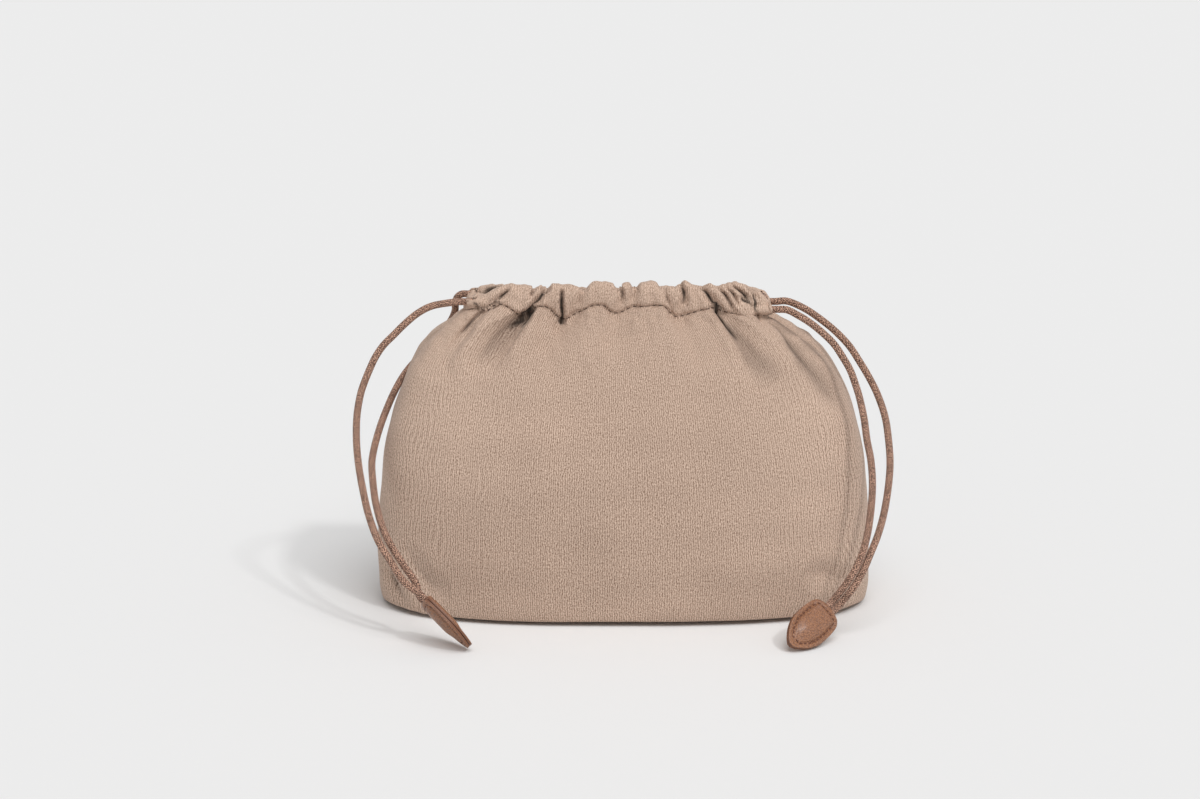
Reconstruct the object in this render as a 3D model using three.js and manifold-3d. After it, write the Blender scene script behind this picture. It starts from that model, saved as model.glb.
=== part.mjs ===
// A soft twill drawstring pouch with a boxed base, two drawcords and two leather tabs.
// Millimetres, +Z up. The origin is at the middle of the base, and the front faces -Y.

import * as THREE from 'three';
import { mergeVertices } from 'three/addons/utils/BufferGeometryUtils.js';
import Module from 'manifold-3d';

const wasm = await Module();
wasm.setup();

// Lengths and depths of the body from the base up to the neck
const baseLength = 268;
const baseDepth = 108;
const bellyLength = 280;
const bellyDepth = 120;
const flankLength = 262;
const flankDepth = 100;
const shoulderLength = 224;
const shoulderDepth = 62;

// Rises from one of those levels to the next
const bellyRise = 36;
const flankRise = 64;
const shoulderRise = 44;
const neckRise = 24.9;

// Cloth, lining and base board
const clothThickness = 1.2;
const liningThickness = 0.6;
const boardThickness = 1.5;
const layerGap = 0.4;
const seamGap = 0.3;

// Squareness of level outlines, where 2 is an ellipse and more is nearer a box
const bodySquareness = 2.7;
const neckSquareness = 4;
const casingSquareness = 4;

// Drawstring casing round the mouth
const mouthLength = 168;
const mouthGap = 12;
const mouthShift = -4;
const frontRise = 7.6;
const backRise = 7.6;
const riseLength = 50;
const neckGap = 0.5;
const casingHeight = 13.3;
const casingWall = 1.2;
const casingEndLength = 24;
const puffCount = 9;
const puffDepth = 1.4;

// Drawcords and the bores that they run in
const cordDiameter = 4;
const cordClearance = 0.5;
const cordSpacing = 0.3;
const cordStraight = 3;
const freeCordSteps = 20;

// Leather tabs
const tabLength = 34;
const tabWidth = 21.5;
const tabEntryWidth = 14.7;
const tabTipWidth = 1.4;
const tabShoulder = 0.25;
const tabShoulderWidth = 0.63;
const tabTaper = 0.72;
const tabTaperWidth = 0.58;
const leatherThickness = 1.3;
const tabDome = 2.6;
const tabDomeSharpness = 0.7;
const tabSeamMargin = 3.6;
const tabTipMargin = 0.4;
const tabCoreEnd = 0.86;
const knuckleFlat = 0.15;

// Values that follow from the driving dimensions
const cordRadius = cordDiameter / 2;
const boreRadius = cordRadius + cordClearance;
const casingThickness = 2 * (boreRadius + casingWall);
const runOffset = (mouthGap + casingThickness) / 2;
const neckDepth = mouthGap + 2 * casingThickness;
const upperCord = (cordDiameter + cordSpacing) / 2;
const knuckleReach = tabDome + seamGap / 2;
const lowerCord = -upperCord;
const wallBottom = clothThickness + seamGap;
const bellyHeight = wallBottom + bellyRise;
const flankHeight = bellyHeight + flankRise;
const shoulderHeight = flankHeight + shoulderRise;
const neckHeight = shoulderHeight + neckRise;
const casingMiddle = neckHeight + neckGap + casingHeight / 2;
const casingEndMiddle = casingMiddle - frontRise;
const casingSpan = mouthLength / 2 - casingEndLength;
const turnCentre = mouthLength / 2 - neckDepth / 2;
const boardBottom = clothThickness + seamGap;
const baseLiningBottom = boardBottom + boardThickness + seamGap;
const liningBottom = baseLiningBottom + liningThickness + seamGap;
const liningInset = clothThickness + layerGap;

// Free routes of the four cord ends after they have left the casing, chosen along the real fall
const leftOuterRoute = [
  [-97.8, -10.5, 171.6], [-107.2, -11, 169.8], [-114.2, -13, 166.5], [-120.7, -16, 161.7],
  [-127.3, -19, 155.6], [-133.1, -21, 150], [-137.3, -23, 144], [-140.2, -25, 138.1],
  [-143, -28, 131.5], [-145, -30, 125.7], [-147, -34, 114.4], [-147.2, -39, 101.6],
  [-145.9, -45, 90.3], [-143, -53, 77.1], [-139.4, -60, 64.6], [-134.1, -67, 52.9],
  [-127.2, -74, 43.9], [-120, -79.6, 34.4],
];
const leftInnerRoute = [
  [-93.6, 11.5, 170.2], [-95.2, 15, 166], [-95.6, 19, 160.8], [-97.8, 22.8, 154.8],
  [-102, 25.8, 148.2], [-107, 27.4, 141.8], [-113, 26.6, 135.4], [-119.4, 22.8, 129.6],
  [-125, 16, 123.6], [-129.6, 7.5, 116.6], [-133.4, -2, 109], [-136.6, -11, 101],
  [-139.2, -20, 91.9], [-140.1, -27, 85.5], [-138.8, -38, 76.9], [-136.3, -49, 67.2],
  [-132.1, -59, 57.3], [-126.9, -66, 49.2], [-120.4, -71.6, 40.7], [-113.8, -76.6, 32.6],
];
const rightOuterRoute = [
  [89.3, 8.8, 168.2], [99.1, 6.5, 164.5], [107.9, 4, 159], [116.2, 0, 152.8],
  [123.4, -4, 145.7], [129, -9, 137.8], [133.8, -13, 130.2], [138.1, -17, 122],
  [142.1, -24, 110.5], [143.6, -31, 99.3], [144, -38, 88.3], [142.7, -45, 77.3],
  [139.9, -52, 63.8], [136.3, -58, 53.4], [132, -63.5, 44.6], [127.9, -67.5, 36.2],
  [122.8, -70.8, 28.2],
];
const rightInnerRoute = [
  [88, -10.8, 167.8], [94.2, -12.2, 165], [100, -14, 161.7], [107.3, -16.5, 156.3],
  [113.6, -19, 150.4], [118.4, -22, 143.6], [122.2, -25, 137.3], [125, -28, 130],
  [126.8, -31, 124.3], [129.2, -37, 113.5], [130.6, -42.5, 102.6], [132.5, -47, 92.6],
  [133.2, -52, 81.1], [132.3, -57, 67.8], [130.1, -62, 54.6], [126.5, -66.5, 43.4],
  [121, -70, 33.4],
];

// Where each tab's entry edge lies, the point that it aims at and the way that its width runs
const leftTabPlace = { throat: [-107.8, -84, 24.4], aim: [-83.6, -96.2, 3.2], across: [0.34, 0.9, -0.2] };
const rightTabPlace = { throat: [108.5, -74, 15.4], aim: [86.2, -98, 4.4], across: [0.66, -0.2, -0.72] };

const colours = { twill: 0xbca28f, lining: 0xa58f7e, board: 0x8d8378, cord: 0x9f8074, leather: 0xa77c65 };

function clothMaterial(color) {
  return new THREE.MeshStandardMaterial({ color, roughness: 0.9, metalness: 0 });
}

function leatherMaterial() {
  return new THREE.MeshStandardMaterial({ color: colours.leather, roughness: 0.55, metalness: 0 });
}

// Turn a closed surface the right way round when its signed volume is negative
function facingOut(geometry) {
  const position = geometry.attributes.position;
  const index = geometry.index.array;
  const a = new THREE.Vector3();
  const b = new THREE.Vector3();
  const c = new THREE.Vector3();
  let volume = 0;
  for (let i = 0; i < index.length; i += 3) {
    a.fromBufferAttribute(position, index[i]);
    b.fromBufferAttribute(position, index[i + 1]);
    c.fromBufferAttribute(position, index[i + 2]);
    volume += a.dot(b.cross(c)) / 6;
  }
  if (volume < 0) {
    for (let i = 0; i < index.length; i += 3) {
      [index[i + 1], index[i + 2]] = [index[i + 2], index[i + 1]];
    }
  }
  return geometry;
}

// A closed sheet between two surfaces over the same grid, with its four edges walled
function sheetBetween(outer, inner, columns, rows) {
  const points = [];
  const faces = [];
  const side = (columns + 1) * (rows + 1);
  for (const surface of [outer, inner]) {
    for (let row = 0; row <= rows; row += 1) {
      for (let column = 0; column <= columns; column += 1) {
        points.push(...surface(column / columns, row / rows));
      }
    }
  }
  const at = (layer, column, row) => layer * side + row * (columns + 1) + column;
  const quad = (p, q, r, s) => faces.push(p, q, r, p, r, s);
  for (let row = 0; row < rows; row += 1) {
    for (let column = 0; column < columns; column += 1) {
      quad(at(0, column, row), at(0, column + 1, row), at(0, column + 1, row + 1), at(0, column, row + 1));
      quad(at(1, column, row), at(1, column, row + 1), at(1, column + 1, row + 1), at(1, column + 1, row));
    }
  }
  for (let column = 0; column < columns; column += 1) {
    quad(at(0, column + 1, 0), at(0, column, 0), at(1, column, 0), at(1, column + 1, 0));
    quad(at(0, column, rows), at(0, column + 1, rows), at(1, column + 1, rows), at(1, column, rows));
  }
  for (let row = 0; row < rows; row += 1) {
    quad(at(0, 0, row), at(0, 0, row + 1), at(1, 0, row + 1), at(1, 0, row));
    quad(at(0, columns, row + 1), at(0, columns, row), at(1, columns, row), at(1, columns, row + 1));
  }
  const geometry = new THREE.BufferGeometry();
  geometry.setAttribute('position', new THREE.Float32BufferAttribute(points, 3));
  geometry.setIndex(faces);
  return facingOut(geometry);
}

// A closed bar whose section changes along its length: a ring of points at each station
function barThrough(ring, stations, sides) {
  const points = [];
  const faces = [];
  for (let station = 0; station <= stations; station += 1) {
    for (let side = 0; side < sides; side += 1) {
      points.push(...ring(station / stations, side / sides));
    }
  }
  const at = (station, side) => station * sides + (side % sides);
  for (let station = 0; station < stations; station += 1) {
    for (let side = 0; side < sides; side += 1) {
      faces.push(at(station, side), at(station, side + 1), at(station + 1, side + 1));
      faces.push(at(station, side), at(station + 1, side + 1), at(station + 1, side));
    }
  }
  for (let side = 1; side < sides - 1; side += 1) {
    faces.push(at(0, 0), at(0, side + 1), at(0, side));
    faces.push(at(stations, 0), at(stations, side), at(stations, side + 1));
  }
  const geometry = new THREE.BufferGeometry();
  geometry.setAttribute('position', new THREE.Float32BufferAttribute(points, 3));
  geometry.setIndex(faces);
  return facingOut(geometry);
}

// Solids for cutting and joining, and back again
function toSolid(geometry) {
  const bare = geometry.clone();
  bare.deleteAttribute('normal');
  bare.deleteAttribute('uv');
  const merged = mergeVertices(bare, 1e-4);
  return new wasm.Manifold(new wasm.Mesh({
    numProp: 3,
    vertProperties: new Float32Array(merged.attributes.position.array),
    triVerts: new Uint32Array(merged.index.array),
  }));
}

function toGeometry(solid) {
  const mesh = solid.getMesh();
  const geometry = new THREE.BufferGeometry();
  geometry.setAttribute('position', new THREE.Float32BufferAttribute(mesh.vertProperties, 3));
  geometry.setIndex(new THREE.Uint32BufferAttribute(mesh.triVerts, 1));
  return geometry;
}

function cutFrom(body, ...tools) {
  let solid = toSolid(body);
  for (const tool of tools) {
    solid = solid.subtract(toSolid(tool));
  }
  return toGeometry(solid);
}

// A regular polygon as a flat shape
function roundShape(radius, sides) {
  const points = [];
  for (let side = 0; side < sides; side += 1) {
    const angle = (side + 0.5) / sides * 2 * Math.PI;
    points.push(new THREE.Vector2(radius * Math.cos(angle), radius * Math.sin(angle)));
  }
  return new THREE.Shape(points);
}

// A point at an angle on a unit outline that lies between an ellipse and a box
function outlineAt(angle, squareness) {
  const cosine = Math.cos(angle);
  const sine = Math.sin(angle);
  const reach = (Math.abs(cosine) ** squareness + Math.abs(sine) ** squareness) ** (-1 / squareness);
  return { x: cosine * reach, y: sine * reach };
}

function tubeAlong(path, radius, steps, sides) {
  const shape = roundShape(radius, sides);
  return new THREE.ExtrudeGeometry(shape, { steps, extrudePath: path, bevelEnabled: false });
}

function smoothPath(points) {
  return new THREE.CatmullRomCurve3(points.map((p) => new THREE.Vector3(...p)), false, 'centripetal');
}

function smoothStep(value) {
  const x = Math.min(Math.max(value, 0), 1);
  return x * x * (3 - 2 * x);
}

// Height of a casing's middle at a distance along the mouth: each side rises from its ends
function casingLevel(x, facing) {
  const rise = facing < 0 ? frontRise : backRise;
  return casingEndMiddle + rise * smoothStep((casingSpan - Math.abs(x)) / riseLength);
}

// The body's profile from base to neck, as half length, half depth and height
const bodyProfile = smoothPath([
  [baseLength / 2, baseDepth / 2, wallBottom],
  [bellyLength / 2, bellyDepth / 2, bellyHeight],
  [flankLength / 2, flankDepth / 2, flankHeight],
  [shoulderLength / 2, shoulderDepth / 2, shoulderHeight],
  [mouthLength / 2, neckDepth / 2, neckHeight],
]);

// A point on the front half of the body, or on its back half, moved inwards by an inset.
// Level outlines are superellipses, and the top edge follows the casing's own drop.
function bodyPoint(facing, inset, bottom, along, up) {
  const level = bodyProfile.getPoint(up);
  const squareness = bodySquareness + (neckSquareness - bodySquareness) * up ** 3;
  const outline = outlineAt(Math.PI * along, squareness);
  const drop = casingLevel(outline.x * mouthLength / 2, facing) - casingMiddle;
  const lift = (bottom - wallBottom) * (1 - up) ** 8;
  return [
    outline.x * (level.x - inset) + mouthShift * up ** 3,
    facing * (outline.y * (level.y - inset) + seamGap / 2),
    level.z + drop * up ** 4 + lift,
  ];
}

function bodyHalf(facing, inset, thickness, bottom, columns, rows) {
  const outer = (s, t) => bodyPoint(facing, inset, bottom, s, t);
  const inner = (s, t) => bodyPoint(facing, inset + thickness, bottom, s, t);
  return sheetBetween(outer, inner, columns, rows);
}

// A flat piece of the base's outline, inset from the outer cloth
function baseSheet(inset, bottom, thickness) {
  const points = [];
  const corners = 48;
  for (let corner = 0; corner < corners; corner += 1) {
    const outline = outlineAt(corner / corners * 2 * Math.PI, bodySquareness);
    const x = (baseLength / 2 - inset) * outline.x;
    const y = (baseDepth / 2 - inset) * outline.y;
    points.push(new THREE.Vector2(x, y));
  }
  const shape = new THREE.Shape(points);
  const geometry = new THREE.ExtrudeGeometry(shape, { depth: thickness, bevelEnabled: false });
  geometry.translate(0, 0, bottom);
  return geometry;
}

// The long middle of a casing: a flat hem gathered into puffs, with a slot for two cords
function casingBar(facing) {
  const stations = puffCount * 4;
  const sides = 12;
  const length = casingSpan - seamGap;
  const ring = (along, round) => {
    const x = (2 * along - 1) * length;
    const puff = puffDepth * Math.sin(Math.PI * puffCount * along) ** 2;
    const outline = outlineAt(2 * Math.PI * round, casingSquareness);
    const depth = casingThickness / 2 + (outline.x > 0 ? puff : 0);
    const height = casingHeight / 2;
    return [x, facing * (runOffset + depth * outline.x), casingLevel(x, facing) + height * outline.y];
  };
  return cutFrom(barThrough(ring, stations, sides), casingSlot(facing));
}

function casingSlot(facing) {
  const stations = 14;
  const sides = 10;
  const length = casingSpan + 1;
  const ring = (along, round) => {
    const x = (2 * along - 1) * length;
    const angle = 2 * Math.PI * (round + 0.5 / sides);
    const level = Math.sin(angle) > 0 ? upperCord : lowerCord;
    const y = facing * runOffset + boreRadius * Math.cos(angle);
    return [x, y, casingLevel(x, facing) + level + boreRadius * Math.sin(angle)];
  };
  return barThrough(ring, stations, sides);
}

// The bunched end of the casing: half a racetrack, bored for two cord ends and one cord's turn
function casingEnd(toward, exitLevel, turnLevel) {
  const outerRadius = neckDepth / 2;
  const innerRadius = mouthGap / 2;
  const shape = new THREE.Shape();
  shape.moveTo(casingSpan, -outerRadius);
  shape.lineTo(turnCentre, -outerRadius);
  shape.absarc(turnCentre, 0, outerRadius, -Math.PI / 2, Math.PI / 2, false);
  shape.lineTo(casingSpan, outerRadius);
  shape.lineTo(casingSpan, innerRadius);
  shape.lineTo(turnCentre, innerRadius);
  shape.absarc(turnCentre, 0, innerRadius, Math.PI / 2, -Math.PI / 2, true);
  shape.lineTo(casingSpan, -innerRadius);
  const solid = { depth: casingHeight, bevelEnabled: false, curveSegments: 14 };
  const block = new THREE.ExtrudeGeometry(shape, solid);
  block.translate(0, 0, casingEndMiddle - casingHeight / 2);
  const past = 1;
  const bores = [-runOffset, runOffset].map((y) => {
    const from = new THREE.Vector3(casingSpan - past, y, casingEndMiddle + exitLevel);
    const to = new THREE.Vector3(mouthLength / 2 + past, y, casingEndMiddle + exitLevel);
    return tubeAlong(new THREE.LineCurve3(from, to), boreRadius, 1, 10);
  });
  const turn = tubeAlong(turnPath(casingSpan - past, turnLevel), boreRadius, 20, 10);
  const geometry = cutFrom(block, ...bores, turn);
  if (toward < 0) {
    geometry.rotateZ(Math.PI);
  }
  return geometry;
}

// A cord's way round the end of the mouth: along the front run, round, and back along the other
function turnPath(start, level) {
  const z = casingEndMiddle + level;
  const path = new THREE.CurvePath();
  const front = new THREE.Vector3(start, -runOffset, z);
  const back = new THREE.Vector3(start, runOffset, z);
  const bend = [];
  const steps = 16;
  for (let step = 0; step <= steps; step += 1) {
    const angle = (step / steps - 0.5) * Math.PI;
    bend.push(new THREE.Vector3(turnCentre + runOffset * Math.cos(angle), runOffset * Math.sin(angle), z));
  }
  path.add(new THREE.LineCurve3(front, bend[0]));
  path.add(new THREE.CatmullRomCurve3(bend, false, 'centripetal'));
  path.add(new THREE.LineCurve3(bend[steps], back));
  return path;
}

function cordTurn(toward, level) {
  const geometry = tubeAlong(turnPath(casingSpan + seamGap, level), cordRadius, 14, 8);
  if (toward < 0) {
    geometry.rotateZ(Math.PI);
  }
  return geometry;
}

// A cord inside the casing's long middle, on the upper or the lower of its two levels
function cordRun(facing, level) {
  const length = casingSpan - 2 * seamGap;
  const points = [];
  const spans = 14;
  for (let span = 0; span <= spans; span += 1) {
    const x = (2 * span / spans - 1) * length;
    points.push([x, facing * runOffset, casingLevel(x, facing) + level]);
  }
  return tubeAlong(smoothPath(points), cordRadius, spans, 8);
}

// A cord end: straight out through its bore, down its own route, and side by side to the tab
function freeCord(toward, facing, level, route, place, sideBySide) {
  const z = casingEndMiddle + level;
  const y = facing * runOffset;
  const inside = toward * (casingSpan + seamGap) + mouthShift;
  const exit = toward * mouthLength / 2 + mouthShift;
  const straight = [inside, (inside + exit) / 2, exit, exit + toward * cordStraight];
  const start = straight.map((x) => [x, y, z]);
  const { throat, along, across } = tabAxes(place);
  const beside = throat.clone().addScaledVector(across, sideBySide * upperCord);
  const short = knuckleReach + seamGap / 2;
  const depths = [-short - cordStraight, -short];
  const end = depths.map((depth) => beside.clone().addScaledVector(along, depth).toArray());
  return tubeAlong(smoothPath([...start, ...route, ...end]), cordRadius, freeCordSteps, 8);
}

// The tab's edge as a curve from its entry corner to its point, as distance along and half width
const tabEdge = new THREE.CubicBezierCurve(
  new THREE.Vector2(0, tabEntryWidth / 2),
  new THREE.Vector2(tabLength * tabShoulder, tabWidth * tabShoulderWidth),
  new THREE.Vector2(tabLength * tabTaper, tabWidth * tabTaperWidth),
  new THREE.Vector2(tabLength, tabTipWidth / 2),
);

// Half the room between the two leaves: a dome that closes at the sewn edge and at the point
function tabRoom(along, across) {
  const crown = (1 - across * across) ** tabDomeSharpness;
  return seamGap / 2 + tabDome * crown * (1 - along ** 3);
}

function tabLeaf(facing) {
  const surface = (raise) => (s, t) => {
    const edge = tabEdge.getPoint(t);
    const across = 2 * s - 1;
    return [edge.x, across * edge.y, facing * (tabRoom(t, across) + raise)];
  };
  return sheetBetween(surface(leatherThickness), surface(0), 10, 12);
}

// The sewn-down cord ends: a flat lens inside the stitched edge, with a knuckle round the entry edge
function tabCore() {
  const rows = 11;
  const knuckle = 3 / rows;
  const surface = (facing) => (s, t) => {
    const along = tabCoreEnd * Math.max(t - knuckle, 0) / (1 - knuckle);
    const edge = tabEdge.getPoint(along);
    const across = 2 * s - 1;
    const half = edge.y - tabSeamMargin * (1 - tabTipMargin * (1 - along));
    const room = Math.max(tabRoom(along, across * half / edge.y) - seamGap, seamGap / 4);
    const turn = Math.PI / 2 * Math.max(1 - t / knuckle, 0) * (1 - knuckleFlat);
    return [edge.x - room * Math.sin(turn), across * half, facing * room * Math.cos(turn)];
  };
  return sheetBetween(surface(1), surface(-1), 8, rows);
}

// A tab's own directions: from its throat to its point, and square to that across its width
function tabAxes(place) {
  const throat = new THREE.Vector3(...place.throat);
  const along = new THREE.Vector3(...place.aim).sub(throat).normalize();
  const across = new THREE.Vector3(...place.across);
  across.addScaledVector(along, -across.dot(along)).normalize();
  return { throat, along, across };
}

function tabGroup(place, side) {
  const { throat, along, across } = tabAxes(place);
  const normal = new THREE.Vector3().crossVectors(along, across);
  const group = new THREE.Group();
  group.applyMatrix4(new THREE.Matrix4().makeBasis(along, across, normal).setPosition(throat));
  group.add(piece(`${side}_tab_front_leaf`, tabLeaf(1), leatherMaterial()));
  group.add(piece(`${side}_tab_back_leaf`, tabLeaf(-1), leatherMaterial()));
  group.add(piece(`${side}_tab_cord_ends`, tabCore(), clothMaterial(colours.cord)));
  return group;
}

function piece(name, geometry, material) {
  const mesh = new THREE.Mesh(geometry, material);
  mesh.name = name;
  return mesh;
}

function bodyGroup() {
  const group = new THREE.Group();
  const cloth = clothMaterial(colours.twill);
  const lining = clothMaterial(colours.lining);
  for (const [name, facing] of [['front', -1], ['back', 1]]) {
    group.add(piece(`${name}_panel`, bodyHalf(facing, 0, clothThickness, wallBottom, 24, 12), cloth));
    const inner = bodyHalf(facing, liningInset, liningThickness, liningBottom, 24, 8);
    group.add(piece(`${name}_lining`, inner, lining));
  }
  const board = baseSheet(clothThickness + seamGap, boardBottom, boardThickness);
  group.add(piece('base_panel', baseSheet(0, 0, clothThickness), cloth));
  group.add(piece('base_board', board, clothMaterial(colours.board)));
  group.add(piece('base_lining', baseSheet(liningInset, baseLiningBottom, liningThickness), lining));
  return group;
}

function mouthGroup() {
  const group = new THREE.Group();
  const cloth = clothMaterial(colours.twill);
  const cord = clothMaterial(colours.cord);
  group.position.x = mouthShift;
  for (const [name, facing] of [['front', -1], ['back', 1]]) {
    group.add(piece(`${name}_casing`, casingBar(facing), cloth));
    group.add(piece(`left_cord_${name}_run`, cordRun(facing, upperCord), cord));
    group.add(piece(`right_cord_${name}_run`, cordRun(facing, lowerCord), cord));
  }
  group.add(piece('left_casing_end', casingEnd(-1, upperCord, lowerCord), cloth));
  group.add(piece('right_casing_end', casingEnd(1, lowerCord, upperCord), cloth));
  group.add(piece('left_cord_turn', cordTurn(1, upperCord), cord));
  group.add(piece('right_cord_turn', cordTurn(-1, lowerCord), cord));
  return group;
}

function freeCordGroup() {
  const group = new THREE.Group();
  const cord = clothMaterial(colours.cord);
  const ends = [
    ['left_cord_outer', -1, -1, upperCord, leftOuterRoute, leftTabPlace, -1],
    ['left_cord_inner', -1, 1, upperCord, leftInnerRoute, leftTabPlace, 1],
    ['right_cord_outer', 1, 1, lowerCord, rightOuterRoute, rightTabPlace, 1],
    ['right_cord_inner', 1, -1, lowerCord, rightInnerRoute, rightTabPlace, -1],
  ];
  for (const [name, ...shape] of ends) {
    group.add(piece(name, freeCord(...shape), cord));
  }
  return group;
}

const pouch = new THREE.Group();
pouch.add(bodyGroup());
pouch.add(mouthGroup());
pouch.add(freeCordGroup());
pouch.add(tabGroup(leftTabPlace, 'left'));
pouch.add(tabGroup(rightTabPlace, 'right'));

export default pouch;
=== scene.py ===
"""Dressed model of a soft twill drawstring pouch: cloth, gathers, cords, leather tabs, light and camera."""
import math

import bpy
import numpy as np
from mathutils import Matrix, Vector


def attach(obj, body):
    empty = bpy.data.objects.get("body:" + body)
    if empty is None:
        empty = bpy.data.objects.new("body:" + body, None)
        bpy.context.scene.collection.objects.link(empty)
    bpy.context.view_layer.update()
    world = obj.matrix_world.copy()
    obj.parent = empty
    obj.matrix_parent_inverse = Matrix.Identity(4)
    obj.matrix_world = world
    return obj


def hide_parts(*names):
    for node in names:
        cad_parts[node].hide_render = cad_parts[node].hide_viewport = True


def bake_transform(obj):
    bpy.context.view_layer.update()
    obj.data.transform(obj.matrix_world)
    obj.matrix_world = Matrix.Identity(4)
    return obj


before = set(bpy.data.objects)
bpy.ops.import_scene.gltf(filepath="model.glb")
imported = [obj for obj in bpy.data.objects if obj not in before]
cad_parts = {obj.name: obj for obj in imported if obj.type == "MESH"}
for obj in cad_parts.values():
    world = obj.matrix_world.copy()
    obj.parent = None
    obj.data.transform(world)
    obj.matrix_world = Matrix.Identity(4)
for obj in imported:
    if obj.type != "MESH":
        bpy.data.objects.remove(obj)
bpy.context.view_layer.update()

# Sizes and places in mm, with x to the right, y to the back and z up
MM = 0.001
MOUTH_CENTRE = -4.0
BASE_CENTRE = -1.0
# The mouth's half length and half depth at the hem's seam, and the powers of its and the base's superellipse
MOUTH_HALF = 84.0
MOUTH_DEPTH = 13.4
MOUTH_SQUARENESS = 5.5
BASE_SQUARENESS = 2.75
# The hem's half thickness, and how far it leans outwards from its foot to its middle
HEM_HALF = 4.7
HEM_LEAN = 0.9
# Height of the hem's seam
NECK = 170.0
CLOTH_THICKNESS = 0.8
LINING_THICKNESS = 0.35
CORD_RADIUS = 2.0


# Camera

CAMERA_PLACE = (-14.5, -1448.9, 502.2)
CAMERA_LENS = 80.7
CAMERA_TILT = 75.0


def make_camera():
    """A long lens 1.5 m from the pouch, looking down at it by 15 degrees."""
    data = bpy.data.cameras.new("product_camera")
    data.lens = CAMERA_LENS
    data.sensor_width = 36.0
    data.clip_start = 0.05
    data.clip_end = 60.0
    camera = bpy.data.objects.new("product_camera", data)
    camera.location = [value * MM for value in CAMERA_PLACE]
    camera.rotation_euler = (math.radians(CAMERA_TILT), 0.0, 0.0)
    bpy.context.scene.collection.objects.link(camera)
    bpy.context.scene.camera = camera


make_camera()


# Colours and materials

def linear(hex_colour):
    """An sRGB hex colour as linear RGBA."""
    channels = [int(hex_colour[i:i + 2], 16) / 255.0 for i in (1, 3, 5)]
    curve = [c / 12.92 if c <= 0.04045 else ((c + 0.055) / 1.055) ** 2.4 for c in channels]
    return (*curve, 1.0)


def add_node(tree, kind, inputs=None, **settings):
    """One node with its settings, and its sockets set to values, or linked from other sockets or from other
    nodes by their first output."""
    node = tree.nodes.new(kind)
    for name, value in settings.items():
        setattr(node, name, value)
    for name, value in (inputs or {}).items():
        value = value.outputs[0] if isinstance(value, bpy.types.Node) else value
        if isinstance(value, bpy.types.NodeSocket):
            tree.links.new(value, node.inputs[name])
        else:
            node.inputs[name].default_value = value
    return node


def new_material(name):
    """An empty node material and its tree."""
    material = bpy.data.materials.new(name)
    material.use_nodes = True
    tree = material.node_tree
    tree.nodes.clear()
    return material, tree


# How far below zero the cloth's relief attribute lies on the hem's outer face: painted light, paler than the
# body
HEM_PAINTED_LIGHT = 0.12


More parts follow.
